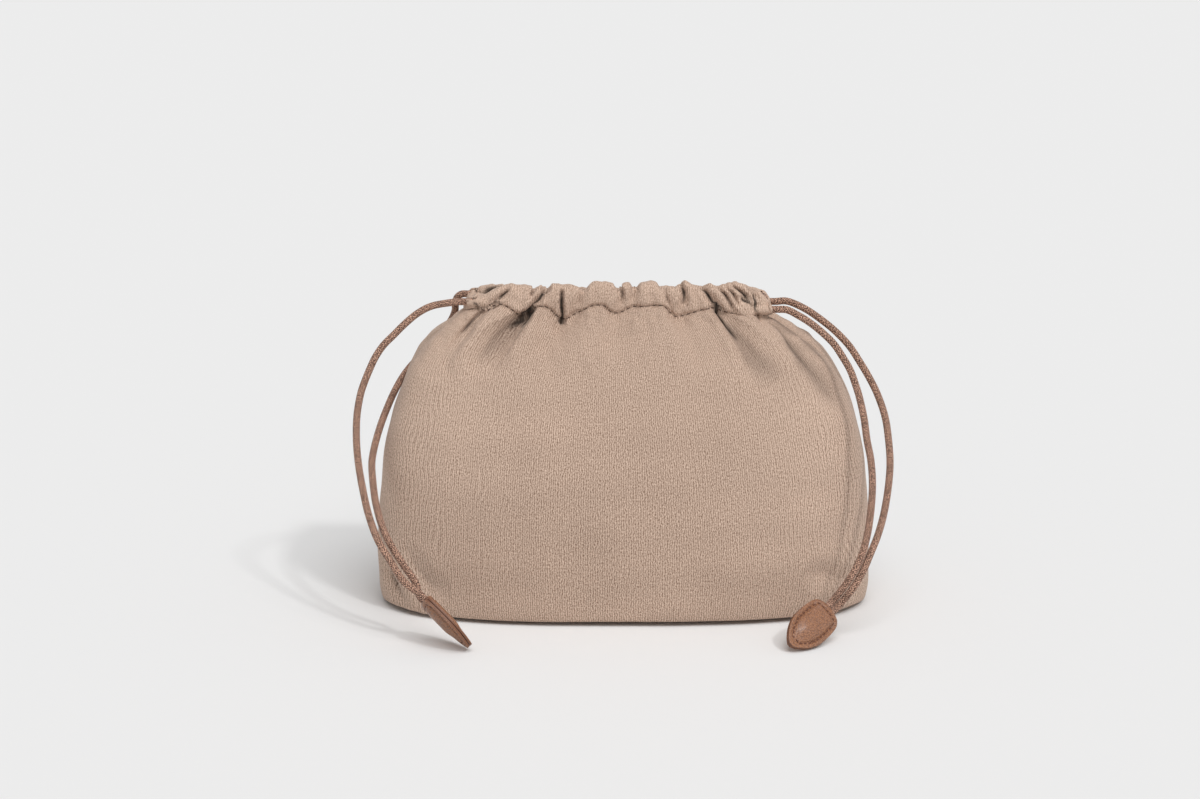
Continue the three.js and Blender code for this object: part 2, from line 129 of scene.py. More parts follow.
def brushed_twill():
    """Cotton and polyester twill with a crepe face: matte, fine upright ribs broken by tiny picks, with faint
    wavering lines like wood grain towards the left, and a soft cloudy shade."""
    material, tree = new_material("brushed_twill")
    cloth = add_node(tree, "ShaderNodeUVMap", uv_map="cloth")
    place = add_node(tree, "ShaderNodeTexCoord").outputs["Object"]
    # Ribs 1.15 mm apart, not the real 0.4 mm, so that they show, and picks as counts per metre both ways
    ribs = add_node(tree, "ShaderNodeTexWave", {
        "Vector": cloth, "Scale": 273.0, "Distortion": 5.0, "Detail": 2.0, "Detail Scale": 1.2})
    height = add_node(tree, "ShaderNodeMath", {0: ribs.outputs[1], 1: 0.13}, operation="MULTIPLY")
    for counts, share in (((1800.0, 950.0, 1.0), 0.54), ((2100.0, 2100.0, 1.0), 0.33)):
        scaled = add_node(tree, "ShaderNodeMapping", {"Vector": cloth, "Scale": counts})
        noise = add_node(tree, "ShaderNodeTexNoise", {
            "Vector": scaled, "Scale": 1.0, "Detail": 2.0, "Roughness": 0.5, "Distortion": 0.3})
        part = add_node(tree, "ShaderNodeMath", {0: noise, 1: share}, operation="MULTIPLY")
        height = add_node(tree, "ShaderNodeMath", {0: height, 1: part}, operation="ADD")
    # Lines about 1.9 mm apart that waver over 20 mm, strongest from 60 to 110 mm to both sides of the middle
    tall = add_node(tree, "ShaderNodeMapping", {"Vector": cloth, "Scale": (1.0, 0.6, 1.0)})
    grain = add_node(tree, "ShaderNodeTexWave", {
        "Vector": tall, "Scale": 165.0, "Distortion": 20.0, "Detail": 1.0, "Detail Scale": 0.3})
    across = add_node(tree, "ShaderNodeSeparateXYZ", {0: place})
    aside = add_node(tree, "ShaderNodeMath", {0: across}, operation="ABSOLUTE")
    wavy = add_node(tree, "ShaderNodeMapRange", {
        "Value": aside, "From Min": 0.05, "From Max": 0.12, "To Min": 0.02, "To Max": 0.075})
    waver = add_node(tree, "ShaderNodeMath", {0: grain.outputs[1], 1: wavy}, operation="MULTIPLY")
    woven = add_node(tree, "ShaderNodeMath", {0: height, 1: waver}, operation="ADD")
    tone = add_node(tree, "ShaderNodeMapRange", {"Value": woven, "From Min": 0.38, "From Max": 0.64})
    colour = add_node(tree, "ShaderNodeMix", {0: tone, 6: linear("#856b5a"), 7: linear("#dbc1ae")},
                      data_type="RGBA").outputs[2]
    cloud = add_node(tree, "ShaderNodeTexNoise", {
        "Vector": place, "Scale": 16.0, "Detail": 3.0, "Roughness": 0.5})
    soft = add_node(tree, "ShaderNodeMapRange", {
        "Value": cloud, "From Min": 0.3, "From Max": 0.7, "To Min": 0.965, "To Max": 1.03})
    # The relief attribute is painted shading: painted shade deep in folds, along creases and on the hem's
    # side facing into the mouth, and painted light on the hem's outer face, where it is a little below zero.
    painted_shading = add_node(tree, "ShaderNodeAttribute", attribute_name="relief").outputs["Fac"]
    shading_paint = add_node(tree, "ShaderNodeMapRange", {
        "Value": painted_shading, "From Min": -HEM_PAINTED_LIGHT, "To Min": 1.11, "To Max": 0.1})
    dimmed = add_node(tree, "ShaderNodeMath", {0: soft, 1: shading_paint}, operation="MULTIPLY")
    tint = add_node(tree, "ShaderNodeVectorMath", {0: colour, 3: dimmed}, operation="SCALE")
    bump = add_node(tree, "ShaderNodeBump", {"Height": woven, "Strength": 0.4, "Distance": 0.0005})
    shader = add_node(tree, "ShaderNodeBsdfPrincipled", {
        "Base Color": tint, "Roughness": 0.92, "Specular IOR Level": 0.15,
        "Sheen Weight": 0.08, "Sheen Roughness": 0.6, "Normal": bump})
    add_node(tree, "ShaderNodeOutputMaterial", {0: shader})
    return material


def woven_lining():
    """Plain woven polyester lining: closer and smoother than the twill, with a slight sheen."""
    material, tree = new_material("woven_lining")
    cloth = add_node(tree, "ShaderNodeUVMap", uv_map="cloth")
    warp = add_node(tree, "ShaderNodeMapping", {"Vector": cloth, "Scale": (1300.0, 1300.0, 1.0)})
    weave = add_node(tree, "ShaderNodeTexNoise", {"Vector": warp, "Scale": 1.0, "Detail": 2.0})
    colour = add_node(tree, "ShaderNodeMix", {0: weave, 6: linear("#94806f"), 7: linear("#ab9583")},
                      data_type="RGBA").outputs[2]
    bump = add_node(tree, "ShaderNodeBump", {"Height": weave, "Strength": 0.3, "Distance": 0.0004})
    shader = add_node(tree, "ShaderNodeBsdfPrincipled", {
        "Base Color": colour, "Roughness": 0.6, "Specular IOR Level": 0.35,
        "Sheen Weight": 0.15, "Sheen Roughness": 0.4, "Normal": bump})
    add_node(tree, "ShaderNodeOutputMaterial", {0: shader})
    return material


def braided_polyester():
    """Round braided polyester cord: pinkish brown strands, flecked where light and dark strands cross."""
    material, tree = new_material("braided_polyester")
    # The cord's UV map counts strands round the cord and along it, so that flecks keep to the crossings.
    strand = add_node(tree, "ShaderNodeUVMap", uv_map="braid")
    fleck = add_node(tree, "ShaderNodeTexNoise", {
        "Vector": strand, "Scale": 2.4, "Detail": 2.0, "Roughness": 0.7})
    fibre = add_node(tree, "ShaderNodeMapping", {"Vector": strand, "Scale": (9.0, 2.5, 1.0)})
    fibres = add_node(tree, "ShaderNodeTexNoise", {"Vector": fibre, "Scale": 1.0, "Detail": 2.0})
    relief = add_node(tree, "ShaderNodeAttribute", attribute_name="relief").outputs["Fac"]
    tone = add_node(tree, "ShaderNodeMapRange", {"Value": fleck, "From Min": 0.46, "From Max": 0.54})
    strands = add_node(tree, "ShaderNodeMix", {0: tone, 6: linear("#3a1f15"), 7: linear("#f4c3a8")},
                       data_type="RGBA").outputs[2]
    # Painted shade: the colour falls to near black where a strand dives under the other family
    low = add_node(tree, "ShaderNodeMapRange", {"Value": relief, "From Min": 0.3, "From Max": 1.0})
    colour = add_node(tree, "ShaderNodeMix", {0: low, 6: linear("#2c1b14"), 7: strands},
                      data_type="RGBA").outputs[2]
    bump = add_node(tree, "ShaderNodeBump", {"Height": fibres, "Strength": 0.5, "Distance": 0.0003})
    shader = add_node(tree, "ShaderNodeBsdfPrincipled", {
        "Base Color": colour, "Roughness": 0.75, "Specular IOR Level": 0.3,
        "Sheen Weight": 0.1, "Sheen Roughness": 0.5, "Normal": bump})
    add_node(tree, "ShaderNodeOutputMaterial", {0: shader})
    return material


def pebbled_leather():
    """Tan pebbled cowhide: small rounded grains with a soft waxed shine, darker in the creases."""
    material, tree = new_material("pebbled_leather")
    place = add_node(tree, "ShaderNodeTexCoord").outputs["Object"]
    # Grains about 0.9 mm across
    grain = add_node(tree, "ShaderNodeTexVoronoi", {"Vector": place, "Scale": 1100.0, "Randomness": 0.9})
    pores = add_node(tree, "ShaderNodeTexNoise", {"Vector": place, "Scale": 900.0, "Detail": 3.0})
    cloud = add_node(tree, "ShaderNodeTexNoise", {"Vector": place, "Scale": 90.0, "Detail": 2.0})
    face = add_node(tree, "ShaderNodeMix", {0: cloud, 6: linear("#8f5e3e"), 7: linear("#b27a54")},
                    data_type="RGBA").outputs[2]
    crease = add_node(tree, "ShaderNodeMapRange", {
        "Value": grain.outputs["Distance"], "From Min": 0.3, "From Max": 0.7, "To Min": 0.0, "To Max": 0.6})
    colour = add_node(tree, "ShaderNodeMix", {0: crease, 6: face, 7: linear("#5f3b29")},
                      data_type="RGBA").outputs[2]
    height = add_node(tree, "ShaderNodeMath", {0: pores, 1: grain.outputs["Distance"]}, operation="SUBTRACT")
    bump = add_node(tree, "ShaderNodeBump", {"Height": height, "Strength": 0.9, "Distance": 0.0007})
    shader = add_node(tree, "ShaderNodeBsdfPrincipled", {
        "Base Color": colour, "Roughness": 0.42, "Specular IOR Level": 0.55, "Coat Weight": 0.35,
        "Coat Roughness": 0.28, "Normal": bump})
    add_node(tree, "ShaderNodeOutputMaterial", {0: shader})
    return material


def fibrous(name, low, high, density, roughness):
    """A matte or sealed fibrous surface: fine speckle between two colours, with its own small bump."""
    material, tree = new_material(name)
    place = add_node(tree, "ShaderNodeTexCoord").outputs["Object"]
    fibre = add_node(tree, "ShaderNodeTexNoise", {"Vector": place, "Scale": density, "Detail": 3.0})
    colour = add_node(tree, "ShaderNodeMix", {0: fibre, 6: linear(low), 7: linear(high)},
                      data_type="RGBA").outputs[2]
    bump = add_node(tree, "ShaderNodeBump", {"Height": fibre, "Strength": 0.25, "Distance": 0.0003})
    shader = add_node(tree, "ShaderNodeBsdfPrincipled", {
        "Base Color": colour, "Roughness": roughness, "Normal": bump})
    add_node(tree, "ShaderNodeOutputMaterial", {0: shader})
    return material


TWILL = brushed_twill()
LINING = woven_lining()
BRAID = braided_polyester()
LEATHER = pebbled_leather()
# The leather's cut edge, burnished and sealed, darker and smoother than its face
LEATHER_EDGE = fibrous("painted_leather_edge", "#5f3b29", "#83573f", 700.0, 0.5)
# Twisted sewing thread, dark brown, slightly glossy, its twist shown as small steps of shade
HEM_THREAD = fibrous("hem_thread", "#3f2b20", "#5c4234", 2200.0, 0.6)
TAB_THREAD = fibrous("tab_thread", "#4f2e20", "#704634", 2200.0, 0.6)
# Grey-brown pressed fibre board with short fibres
BOARD = fibrous("pressed_fibreboard", "#7d7368", "#9c9286", 500.0, 0.85)


# Mesh helpers

def smooth(value):
    """A smooth step from 0 to 1."""
    x = np.clip(value, 0.0, 1.0)
    return x * x * (3.0 - 2.0 * x)


def distance_along(points):
    """The distance along a polyline at each of its points."""
    return np.concatenate([[0.0], np.cumsum(np.linalg.norm(np.diff(points, axis=0), axis=1))])


def unit(vectors):
    """Vectors along the last axis, each divided by its length."""
    return vectors / np.linalg.norm(vectors, axis=-1, keepdims=True)


def catmull_rom(points, parameters):
    """The centripetal Catmull-Rom curve through points, at parameters from 0 to 1 over equal spans."""
    p = np.asarray(points, float)
    p = np.vstack([2 * p[0] - p[1], p, 2 * p[-1] - p[-2]])
    spans = len(p) - 3
    t = np.clip(np.asarray(parameters, float), 0, 1) * spans
    i = np.minimum(t.astype(int), spans - 1)
    w = (t - i)[:, None]
    gap = np.maximum(np.linalg.norm(np.diff(p, axis=0), axis=1) ** 0.5, 1e-6)[:, None]
    p0, p1, p2, p3 = p[i], p[i + 1], p[i + 2], p[i + 3]
    g0, g1, g2 = gap[i], gap[i + 1], gap[i + 2]
    m1 = ((p1 - p0) / g0 - (p2 - p0) / (g0 + g1) + (p2 - p1) / g1) * g1
    m2 = ((p2 - p1) / g1 - (p3 - p1) / (g1 + g2) + (p3 - p2) / g2) * g1
    return p1 + m1 * w + (3 * (p2 - p1) - 2 * m1 - m2) * w ** 2 + (2 * (p1 - p2) + m1 + m2) * w ** 3


def evenly(points, step):
    """A polyline resampled at even distances of about one step."""
    run = distance_along(points)
    count = max(int(round(run[-1] / step)), 2)
    at = np.linspace(0, run[-1], count + 1)
    return np.stack([np.interp(at, run, points[:, k]) for k in range(3)], axis=1)


def grid_quads(rows, columns, wrap=False):
    """Faces of a grid of points, row by row, closed round its columns when wrapped."""
    row = np.arange(rows - 1)[:, None]
    column = np.arange(columns if wrap else columns - 1)[None, :]
    beside = (column + 1) % columns
    corners = [row * columns + column, row * columns + beside,
               (row + 1) * columns + beside, (row + 1) * columns + column]
    return np.stack(np.broadcast_arrays(*corners), axis=-1).reshape(-1, 4)


def facing_out(points, faces):
    """The faces of a closed surface, turned round when its signed volume is negative."""
    centred = points - points.mean(axis=0)
    volume = 0.0
    for a, b, c in ((0, 1, 2), (0, 2, 3)):
        p, q, r = (centred[faces[:, k]] for k in (a, b, c))
        volume += np.einsum("ij,ij->i", p, np.cross(q, r)).sum()
    if volume > 0:
        return faces
    return np.where((faces[:, 2] == faces[:, 3])[:, None], faces[:, [1, 0, 2, 2]], faces[:, [3, 2, 1, 0]])


def closed_rings(points, first_pole, last_pole):
    """Points and outward faces of a row of rings, closed at both ends by a fan of triangles to a pole."""
    rings, sides = points.shape[:2]
    around = np.arange(sides)
    beyond = (around + 1) % sides
    base = (rings - 1) * sides
    fans = [np.stack([near, far, np.full(sides, pole), np.full(sides, pole)], axis=1) for near, far, pole in (
        (beyond, around, rings * sides), (base + around, base + beyond, rings * sides + 1))]
    points = np.vstack([points.reshape(-1, 3), first_pole, last_pole])
    return points, facing_out(points, np.vstack([grid_quads(rings, sides, wrap=True), *fans]))


def border(rows, columns):
    """True for the points along the four edges of a grid, row by row."""
    edge = np.zeros((rows, columns), bool)
    edge[[0, -1]] = True
    edge[:, [0, -1]] = True
    return edge.ravel()


def make_piece(name, points, quads, materials, uv=None, uv_name="cloth", sharp=None, face_material=None,
               relief=None):
    """A mesh object from points in mm and quads, where a quad that repeats its last corner is a triangle."""
    three = quads[:, 2] == quads[:, 3]
    order = np.concatenate([np.flatnonzero(~three), np.flatnonzero(three)])
    mesh = bpy.data.meshes.new(name)
    mesh.from_pydata((np.asarray(points) * MM).tolist(), [], quads[~three].tolist() + quads[three, :3].tolist())
    for material in materials:
        mesh.materials.append(material)
    mesh.polygons.foreach_set("use_smooth", np.ones(len(mesh.polygons), bool))
    if face_material is not None:
        mesh.polygons.foreach_set("material_index", np.asarray(face_material, np.int32)[order])
    if uv is not None:
        vertex = np.empty(len(mesh.loops), np.int32)
        mesh.loops.foreach_get("vertex_index", vertex)
        layer = mesh.uv_layers.new(name=uv_name)
        layer.data.foreach_set("uv", np.asarray(uv, np.float32)[vertex].ravel())
    if relief is not None:
        values = np.asarray(relief, np.float32)
        mesh.attributes.new("relief", "FLOAT", "POINT").data.foreach_set("value", values)
    if sharp is not None:
        pairs = np.empty(len(mesh.edges) * 2, np.int32)
        mesh.edges.foreach_get("vertices", pairs)
        both = sharp[pairs.reshape(-1, 2)].all(axis=1)
        mesh.attributes.new("sharp_edge", "BOOLEAN", "EDGE").data.foreach_set("value", both)
    mesh.update()
    piece = bpy.data.objects.new(name, mesh)
    bpy.context.scene.collection.objects.link(piece)
    return piece


def give_thickness(piece, thickness):
    """Thicken a sheet inwards, away from its outer face."""
    wall = piece.modifiers.new("cloth_thickness", "SOLIDIFY")
    wall.thickness = thickness * MM
    wall.offset = -1.0
    wall.use_rim = True


def braided_tube(name, path, radius=CORD_RADIUS, strands=8, pitch=13.0, sides=32, step=0.42):
    """A round braid along a path: two families of helical strands, each a rounded ridge that dives
    under the other family in turn, closed at both ends by a half sphere."""
    line = evenly(path, step)
    tangent = unit(np.gradient(line, axis=0))
    side = unit(np.cross(np.array([0.0, 1.0, 0.0]), tangent))
    lift = np.cross(tangent, side)
    run = distance_along(line)
    angle = np.arange(sides) / sides * 2 * np.pi
    turn = strands * angle[None, :] / (2 * np.pi)
    climb = strands * run[:, None] / pitch
    left, right = np.sin(np.pi * (turn + climb)), np.sin(np.pi * (turn - climb))
    over = 0.5 + 0.5 * np.clip(3 * left * right, -1, 1)
    relief = np.abs(left) ** 0.6 * over + np.abs(right) ** 0.6 * (1 - over)
    cap = np.sqrt(np.clip(1 - (1 - np.clip(np.minimum(run, run[-1] - run) / radius, 0, 1)) ** 2, 0.02, 1))
    r = radius * (0.87 + 0.14 * relief) * cap[:, None]
    points = (line[:, None, :] + side[:, None, :] * (r * np.cos(angle))[..., None]
              + lift[:, None, :] * (r * np.sin(angle))[..., None])
    points, quads = closed_rings(points, line[0], line[-1])
    uv = np.stack(np.broadcast_arrays(turn, climb), axis=-1).reshape(-1, 2)
    uv = np.vstack([uv, [[0, 0], [0, climb[-1, 0]]]])
    relief = np.concatenate([relief.ravel(), [0.5, 0.5]])
    piece = make_piece(name, points, quads, [BRAID], uv=uv, uv_name="braid", relief=relief)
    return piece


def stitch_row(name, centres, along, normals, material, length=2.5, radius=0.34):
    """Raised stitches: each a short rod whose radius falls to its ends by a circle, half sunk in the cloth."""
    rings, sides = 6, 6
    t = np.linspace(0, 1, rings)
    r = radius * np.sqrt(np.clip(1 - (2 * t - 1) ** 4, 0.03, 1))
    sink = -0.35 * radius * (2 * t - 1) ** 2 * 2
    angle = np.arange(sides) / sides * 2 * np.pi
    across = np.cross(along, normals)
    x = (t - 0.5)[None, :, None] * length * np.ones((1, 1, sides))
    y = (r[:, None] * np.cos(angle))[None]
    z = (r[:, None] * np.sin(angle) + sink[:, None])[None]
    count = len(centres)
    local = [np.broadcast_to(v, (count, rings, sides))[..., None] for v in (x, y, z)]
    points = centres[:, None, None, :] + local[0] * along[:, None, None, :] \
        + local[1] * across[:, None, None, :] + local[2] * normals[:, None, None, :]
    one = grid_quads(rings, sides, wrap=True)
    around = np.arange(sides)
    beyond = (around + 1) % sides
    fan = np.stack([np.zeros(sides - 2, int), around[1:-1], beyond[1:-1], beyond[1:-1]], axis=1)
    last = (rings - 1) * sides
    cap = np.stack([np.full(sides - 2, last), last + beyond[1:-1], last + around[1:-1], last + around[1:-1]],
                   axis=1)
    one = facing_out(points[0].reshape(-1, 3), np.vstack([one, fan, cap]))
    quads = (one[None] + (np.arange(count) * rings * sides)[:, None, None]).reshape(-1, 4)
    return make_piece(name, points.reshape(-1, 3), quads, [material])


# Drawcords

# Routes of the free ends from the casing to the tabs, as points on their axes
LEFT_OUTER = [
    (-97.8, -10.5, 171.6), (-107.2, -11, 169.8), (-114.2, -13, 166.5), (-120.7, -16, 161.7),
    (-127.3, -19, 155.6), (-133.1, -21, 150), (-137.3, -23, 144), (-140.2, -25, 138.1),
    (-143, -28, 131.5), (-145, -30, 125.7), (-147, -34, 114.4), (-147.2, -39, 101.6),
    (-145.9, -45, 90.3), (-143, -53, 77.1), (-139.4, -60, 64.6), (-134.1, -67, 52.9),
    (-127.2, -74, 43.9), (-120, -79.6, 34.4)]
LEFT_INNER = [
    (-93.6, 11.5, 170.2), (-95.2, 15, 166), (-95.6, 19, 160.8), (-97.8, 22.8, 154.8),
    (-102, 25.8, 148.2), (-107, 27.4, 141.8), (-113, 26.6, 135.4), (-119.4, 22.8, 129.6),
    (-125, 16, 123.6), (-129.6, 7.5, 116.6), (-133.4, -2, 109), (-136.6, -11, 101),
    (-139.2, -20, 91.9), (-140.1, -27, 85.5), (-138.8, -38, 76.9), (-136.3, -49, 67.2),
    (-132.1, -59, 57.3), (-126.9, -66, 49.2), (-120.4, -71.6, 40.7), (-113.8, -76.6, 32.6)]
RIGHT_OUTER = [
    (89.3, 8.8, 168.2), (99.1, 6.5, 164.5), (107.9, 4, 159), (116.2, 0, 152.8),
    (123.4, -4, 145.7), (129, -9, 137.8), (133.8, -13, 130.2), (138.1, -17, 122),
    (142.1, -24, 110.5), (143.6, -31, 99.3), (144, -38, 88.3), (142.7, -45, 77.3),
    (139.9, -52, 63.8), (136.3, -58, 53.4), (132, -63.5, 44.6), (127.9, -67.5, 36.2),
    (122.8, -70.8, 28.2)]
RIGHT_INNER = [
    (88, -10.8, 167.8), (94.2, -12.2, 165), (100, -14, 161.7), (107.3, -16.5, 156.3),
    (113.6, -19, 150.4), (118.4, -22, 143.6), (122.2, -25, 137.3), (125, -28, 130),
    (126.8, -31, 124.3), (129.2, -37, 113.5), (130.6, -42.5, 102.6), (132.5, -47, 92.6),
    (133.2, -52, 81.1), (132.3, -57, 67.8), (130.1, -62, 54.6), (126.5, -66.5, 43.4),
    (121, -70, 33.4)]

# Each tab by the middle of its entry, the point that its tip aims at, and the way across its leaves
LEFT_TAB = {"throat": (-107.8, -84, 24.4), "aim": (-83.6, -96.2, 3.2), "across": (-0.07, 0.83, -0.55)}
RIGHT_TAB = {"throat": (108.5, -74, 15.4), "aim": (86.2, -98, 4.4), "across": (0.66, -0.2, -0.72)}


def tab_axes(place):
    """A tab's throat, and its unit directions along, across and out of its front leaf."""
    throat, aim, across = (np.array(place[key], float) for key in ("throat", "aim", "across"))
    along = unit(aim - throat)
    across = unit(across - along * (across @ along))
    return throat, along, across, np.cross(along, across)


# Half the distance of a drawcord's two runs, and their heights in the bunched ends
RUN_OFFSET = 9.7
UPPER, LOWER = 172.1, 167.8
# Half the length of the straight runs, and where the free ends and the turns begin inside the casing
RUN_HALF, FREE_START, TURN_START = 60.0, 60.3, 60.4
TURN_CENTRE = 70.6
# Half the distance between the two cord ends in a tab's entry
TAB_CORD_OFFSET = 2.05


def free_cord(hand, end, toward, z, side, route, place, length):
    """A cord end from inside the casing, out of its end, down its route and in between the tab's leaves, at
    one side of the mouth's middle line and of the tab's."""
    y = side * RUN_OFFSET
    inside, leaving = toward * FREE_START + MOUTH_CENTRE, toward * MOUTH_HALF + MOUTH_CENTRE
    throat, along, across, _ = tab_axes(place)
    spread = throat + across * side * TAB_CORD_OFFSET
    start = [(inside, y, z), ((inside + leaving) / 2, y, z), (leaving, y, z), (leaving + 3 * toward, y, z)]
    knots = start + route + [tuple(spread + along * reach) for reach in (-5.0, 1.5, 6.0)]
    path = evenly(catmull_rom(knots, np.linspace(0, 1, 1200)), 0.5)
    cord = braided_tube(f"{hand}_drawcord_{end}_end", path)
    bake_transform(cord)
    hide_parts(f"{hand}_cord_{end}")
    facts = {"exit": (leaving * MM, y * MM, z * MM), "length": length, "diameter": 2 * CORD_RADIUS * MM,
             "far_end": "fitting", "stiffness": "limp", "lay": "hanging", "path": (path[::6] * MM).tolist()}
    return cord, facts


CORDS = {
    "left": [free_cord("left", "outer", -1, UPPER, -1, LEFT_OUTER, LEFT_TAB, 0.237),
             free_cord("left", "inner", -1, UPPER, 1, LEFT_INNER, LEFT_TAB, 0.252)],
    "right": [free_cord("right", "outer", 1, LOWER, 1, RIGHT_OUTER, RIGHT_TAB, 0.246),
              free_cord("right", "inner", 1, LOWER, -1, RIGHT_INNER, RIGHT_TAB, 0.225)]}


# Leather tabs

# Half the tab's width at distances from its entry to its tip
TAB_OUTLINE = [(0, 7.3), (1.3, 8.5), (3.3, 9.6), (7, 10.3), (11.2, 10.6), (16, 10.6), (20, 10.2),
               (24, 8.9), (27.4, 7.2), (30.4, 5.0), (32.6, 2.9), (33.8, 1.3)]
TAB_LENGTH = TAB_OUTLINE[-1][0]
STITCH_INSET = 2.7
TAB_STITCH_STEP = 2.9
LEATHER_THICKNESS = 1.3


def tab_half_width(a):
    """Half the tab's width at distances along it, by a smooth curve through its outline."""
    curve = catmull_rom([(x, w, 0) for x, w in TAB_OUTLINE], np.linspace(0, 1, 400))
    return np.interp(a, curve[:, 0], curve[:, 1])


def tab_stitch_line():
    """The outline moved in by the stitch inset: up one side, round the point, back, and over the entry."""
    a = np.linspace(STITCH_INSET, 29.6, 160)
    slope = np.gradient(tab_half_width(a), a)
    w = tab_half_width(a) - STITCH_INSET * np.sqrt(1 + slope ** 2)
    keep = w > 0.4
    a, w = a[keep], w[keep]
    entry = np.linspace(-w[0], w[0], 40)[1:-1]
    ring = np.concatenate([np.stack([a, w], 1), np.stack([a, -w], 1)[::-1],
                           np.stack([np.full_like(entry, a[0]), entry], 1)])
    return np.vstack([ring, ring[:1]])


TAB_RING = tab_stitch_line()


def tab_height(a, c):
    """Height of a leaf's inner face: flat at the sewn margin, domed over the cord ends inside it."""
    w = tab_half_width(a)
    edge = 1 - np.abs(c) / w
    margin = (0.02 + 0.27 * smooth(a / 9.0)) * smooth(a / 3.0 + 0.5)
    q = np.clip((edge - margin) / (1 - margin), 0, 1)
    crown = 1 - (1 - q) ** 2.4
    return 0.24 + (2.03 + 0.35 * smooth(a / 8)) * crown * (1 - smooth((a - 18) / 13))


def tab_face(a, c):
    """Height of a leaf's outer face: the inner height and the leather, rounded at the cut edge, with the
    stitch groove pressed in by a Gaussian of the distance to the stitch line."""
    w = tab_half_width(a)
    near = np.minimum(np.minimum(w - np.abs(c), a + 0.25), TAB_LENGTH + 0.4 - a)
    rounding = 0.38 * (1 - np.sqrt(np.clip(1 - (1 - np.clip(near / 0.6, 0, 1)) ** 2, 0, 1)))
    flat = np.stack([a, c], -1)[..., None, :] - TAB_RING
    distance = np.sqrt((flat ** 2).sum(-1)).min(-1)
    groove = 0.5 * np.exp(-(distance / 0.65) ** 2)
    puff = 0.12 * np.exp(-((distance - 1.5) / 0.8) ** 2)
    return tab_height(a, c) + LEATHER_THICKNESS - rounding - groove + puff


def tab_grid(distances, columns, fill=1.0):
    """Places along and across a tab: rows at the distances, columns by a sine over a share of its width."""
    a = np.broadcast_to(distances[:, None], (len(distances), columns))
    return a, tab_half_width(a) * fill * np.sin(np.pi / 2 * np.linspace(-1, 1, columns))[None, :]


def tab_shell(place, a, c, outer, inner):
    """A closed shell over a grid of places on a tab: two faces at their heights, and a wall along their edges.
    It gives the points, the faces with the wall's last, and the edge's points in the outer face."""
    rows, columns = a.shape
    count = rows * columns
    throat, along, across, normal = tab_axes(place)
    points = np.concatenate([np.stack([a, c, height], -1).reshape(-1, 3) for height in (outer, inner)])
    points = throat + points[:, :1] * along + points[:, 1:2] * across + points[:, 2:] * normal
    between = np.arange(1, rows - 1) * columns
    ring = np.concatenate([np.arange(columns), between + columns - 1,
                           (rows - 1) * columns + np.arange(columns)[::-1], between[::-1]])
    after = np.roll(ring, -1)
    wall = np.stack([after, ring, ring + count, after + count], axis=1)
    quads = grid_quads(rows, columns)
    return points, facing_out(points, np.vstack([quads, quads[:, ::-1] + count, wall])), ring


def tab_leaf(tab, word, facing, place):
    """One leather leaf: its outer and inner faces, with the cut edge between them."""
    a, c = tab_grid(TAB_LENGTH * (0.5 - 0.5 * np.cos(np.pi * np.linspace(0, 1, 90))), 75)
    points, quads, ring = tab_shell(place, a, c, facing * tab_face(a, c), facing * tab_height(a, c))
    face_material = np.arange(len(quads)) >= len(quads) - len(ring)
    sharp = np.zeros(len(points), bool)
    sharp[ring] = True
    sharp[ring + a.size] = True
    piece = make_piece(f"{tab}_{word}_leather", points, quads, [LEATHER, LEATHER_EDGE],
                       face_material=face_material, sharp=sharp)
    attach(piece, tab)
    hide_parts(f"{tab}_{word}_leaf")
    return piece


def tab_stitches(tab, word, facing, place):
    """Stitches along the tab's stitch line, 2.2 mm long at 2.9 mm steps, lying in the groove."""
    run = distance_along(TAB_RING)
    count = int(round(run[-1] / TAB_STITCH_STEP))
    at = (np.arange(count) + 0.5) * run[-1] / count
    spots = [np.stack([np.interp(at + d, run, TAB_RING[:, k]) for k in (0, 1)], 1) for d in (-0.8, 0.0, 0.8)]
    heights = [facing * (tab_face(s[:, 0], s[:, 1]) + 0.1) for s in spots]
    throat, along, across, normal = tab_axes(place)
    low, middle, high = (throat + s[:, :1] * along + s[:, 1:] * across + h[:, None] * normal
                         for s, h in zip(spots, heights))
    way = unit(high - low)
    out = np.tile(normal * facing, (count, 1))
    out = unit(out - way * np.einsum("ij,ij->i", out, way)[:, None])
    piece = stitch_row(f"{tab}_{word}_stitches", middle, way, out, TAB_THREAD, length=2.2, radius=0.38)
    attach(piece, tab)
    return piece


def tab_filler(tab, place):
    """The flattened, sewn-down cord ends between the leaves: a lens a little under the leaves' inner faces."""
    a, c = tab_grid(np.linspace(1.2, 27.0, 40), 41, fill=0.93)
    height = np.maximum(tab_height(a, c) - 0.1, 0.02)
    points, quads, _ = tab_shell(place, a, c, height, -height)
    # The cord ends take the leather edge's dark colour, not the braid's: painted shade in the slit between the
    # leaves
    piece = make_piece(f"{tab}_filling", points, quads, [LEATHER_EDGE])
    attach(piece, tab)
    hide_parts(f"{tab}_cord_ends")
    return piece


for hand, place in (("left", LEFT_TAB), ("right", RIGHT_TAB)):
    tab, leaves = f"{hand}_tab", (("front", 1), ("back", -1))
    with_tab = [tab_leaf(tab, word, facing, place) for word, facing in leaves]
    with_tab += [tab_filler(tab, place)]
    with_tab += [tab_stitches(tab, word, facing, place) for word, facing in leaves]


# Cloth shape

# Half length, half depth and height of the cloth from its turned-under base seam up to the hem's stitch line
BODY_PROFILE = np.array([
    (133.0, 54.0, 1.9), (134.8, 56.0, 0.7), (136.4, 57.4, 1.6), (137.4, 58.0, 6.0), (138.2, 58.4, 15.0),
    (139.2, 59.2, 38.0), (136.2, 57.0, 73.0), (130.2, 50.0, 102.0), (122.0, 41.0, 125.0),
    (112.0, 31.5, 145.0), (99.5, 22.5, 158.0), (88.5, 16.0, 166.5), (84.0, 13.4, 170.0)])

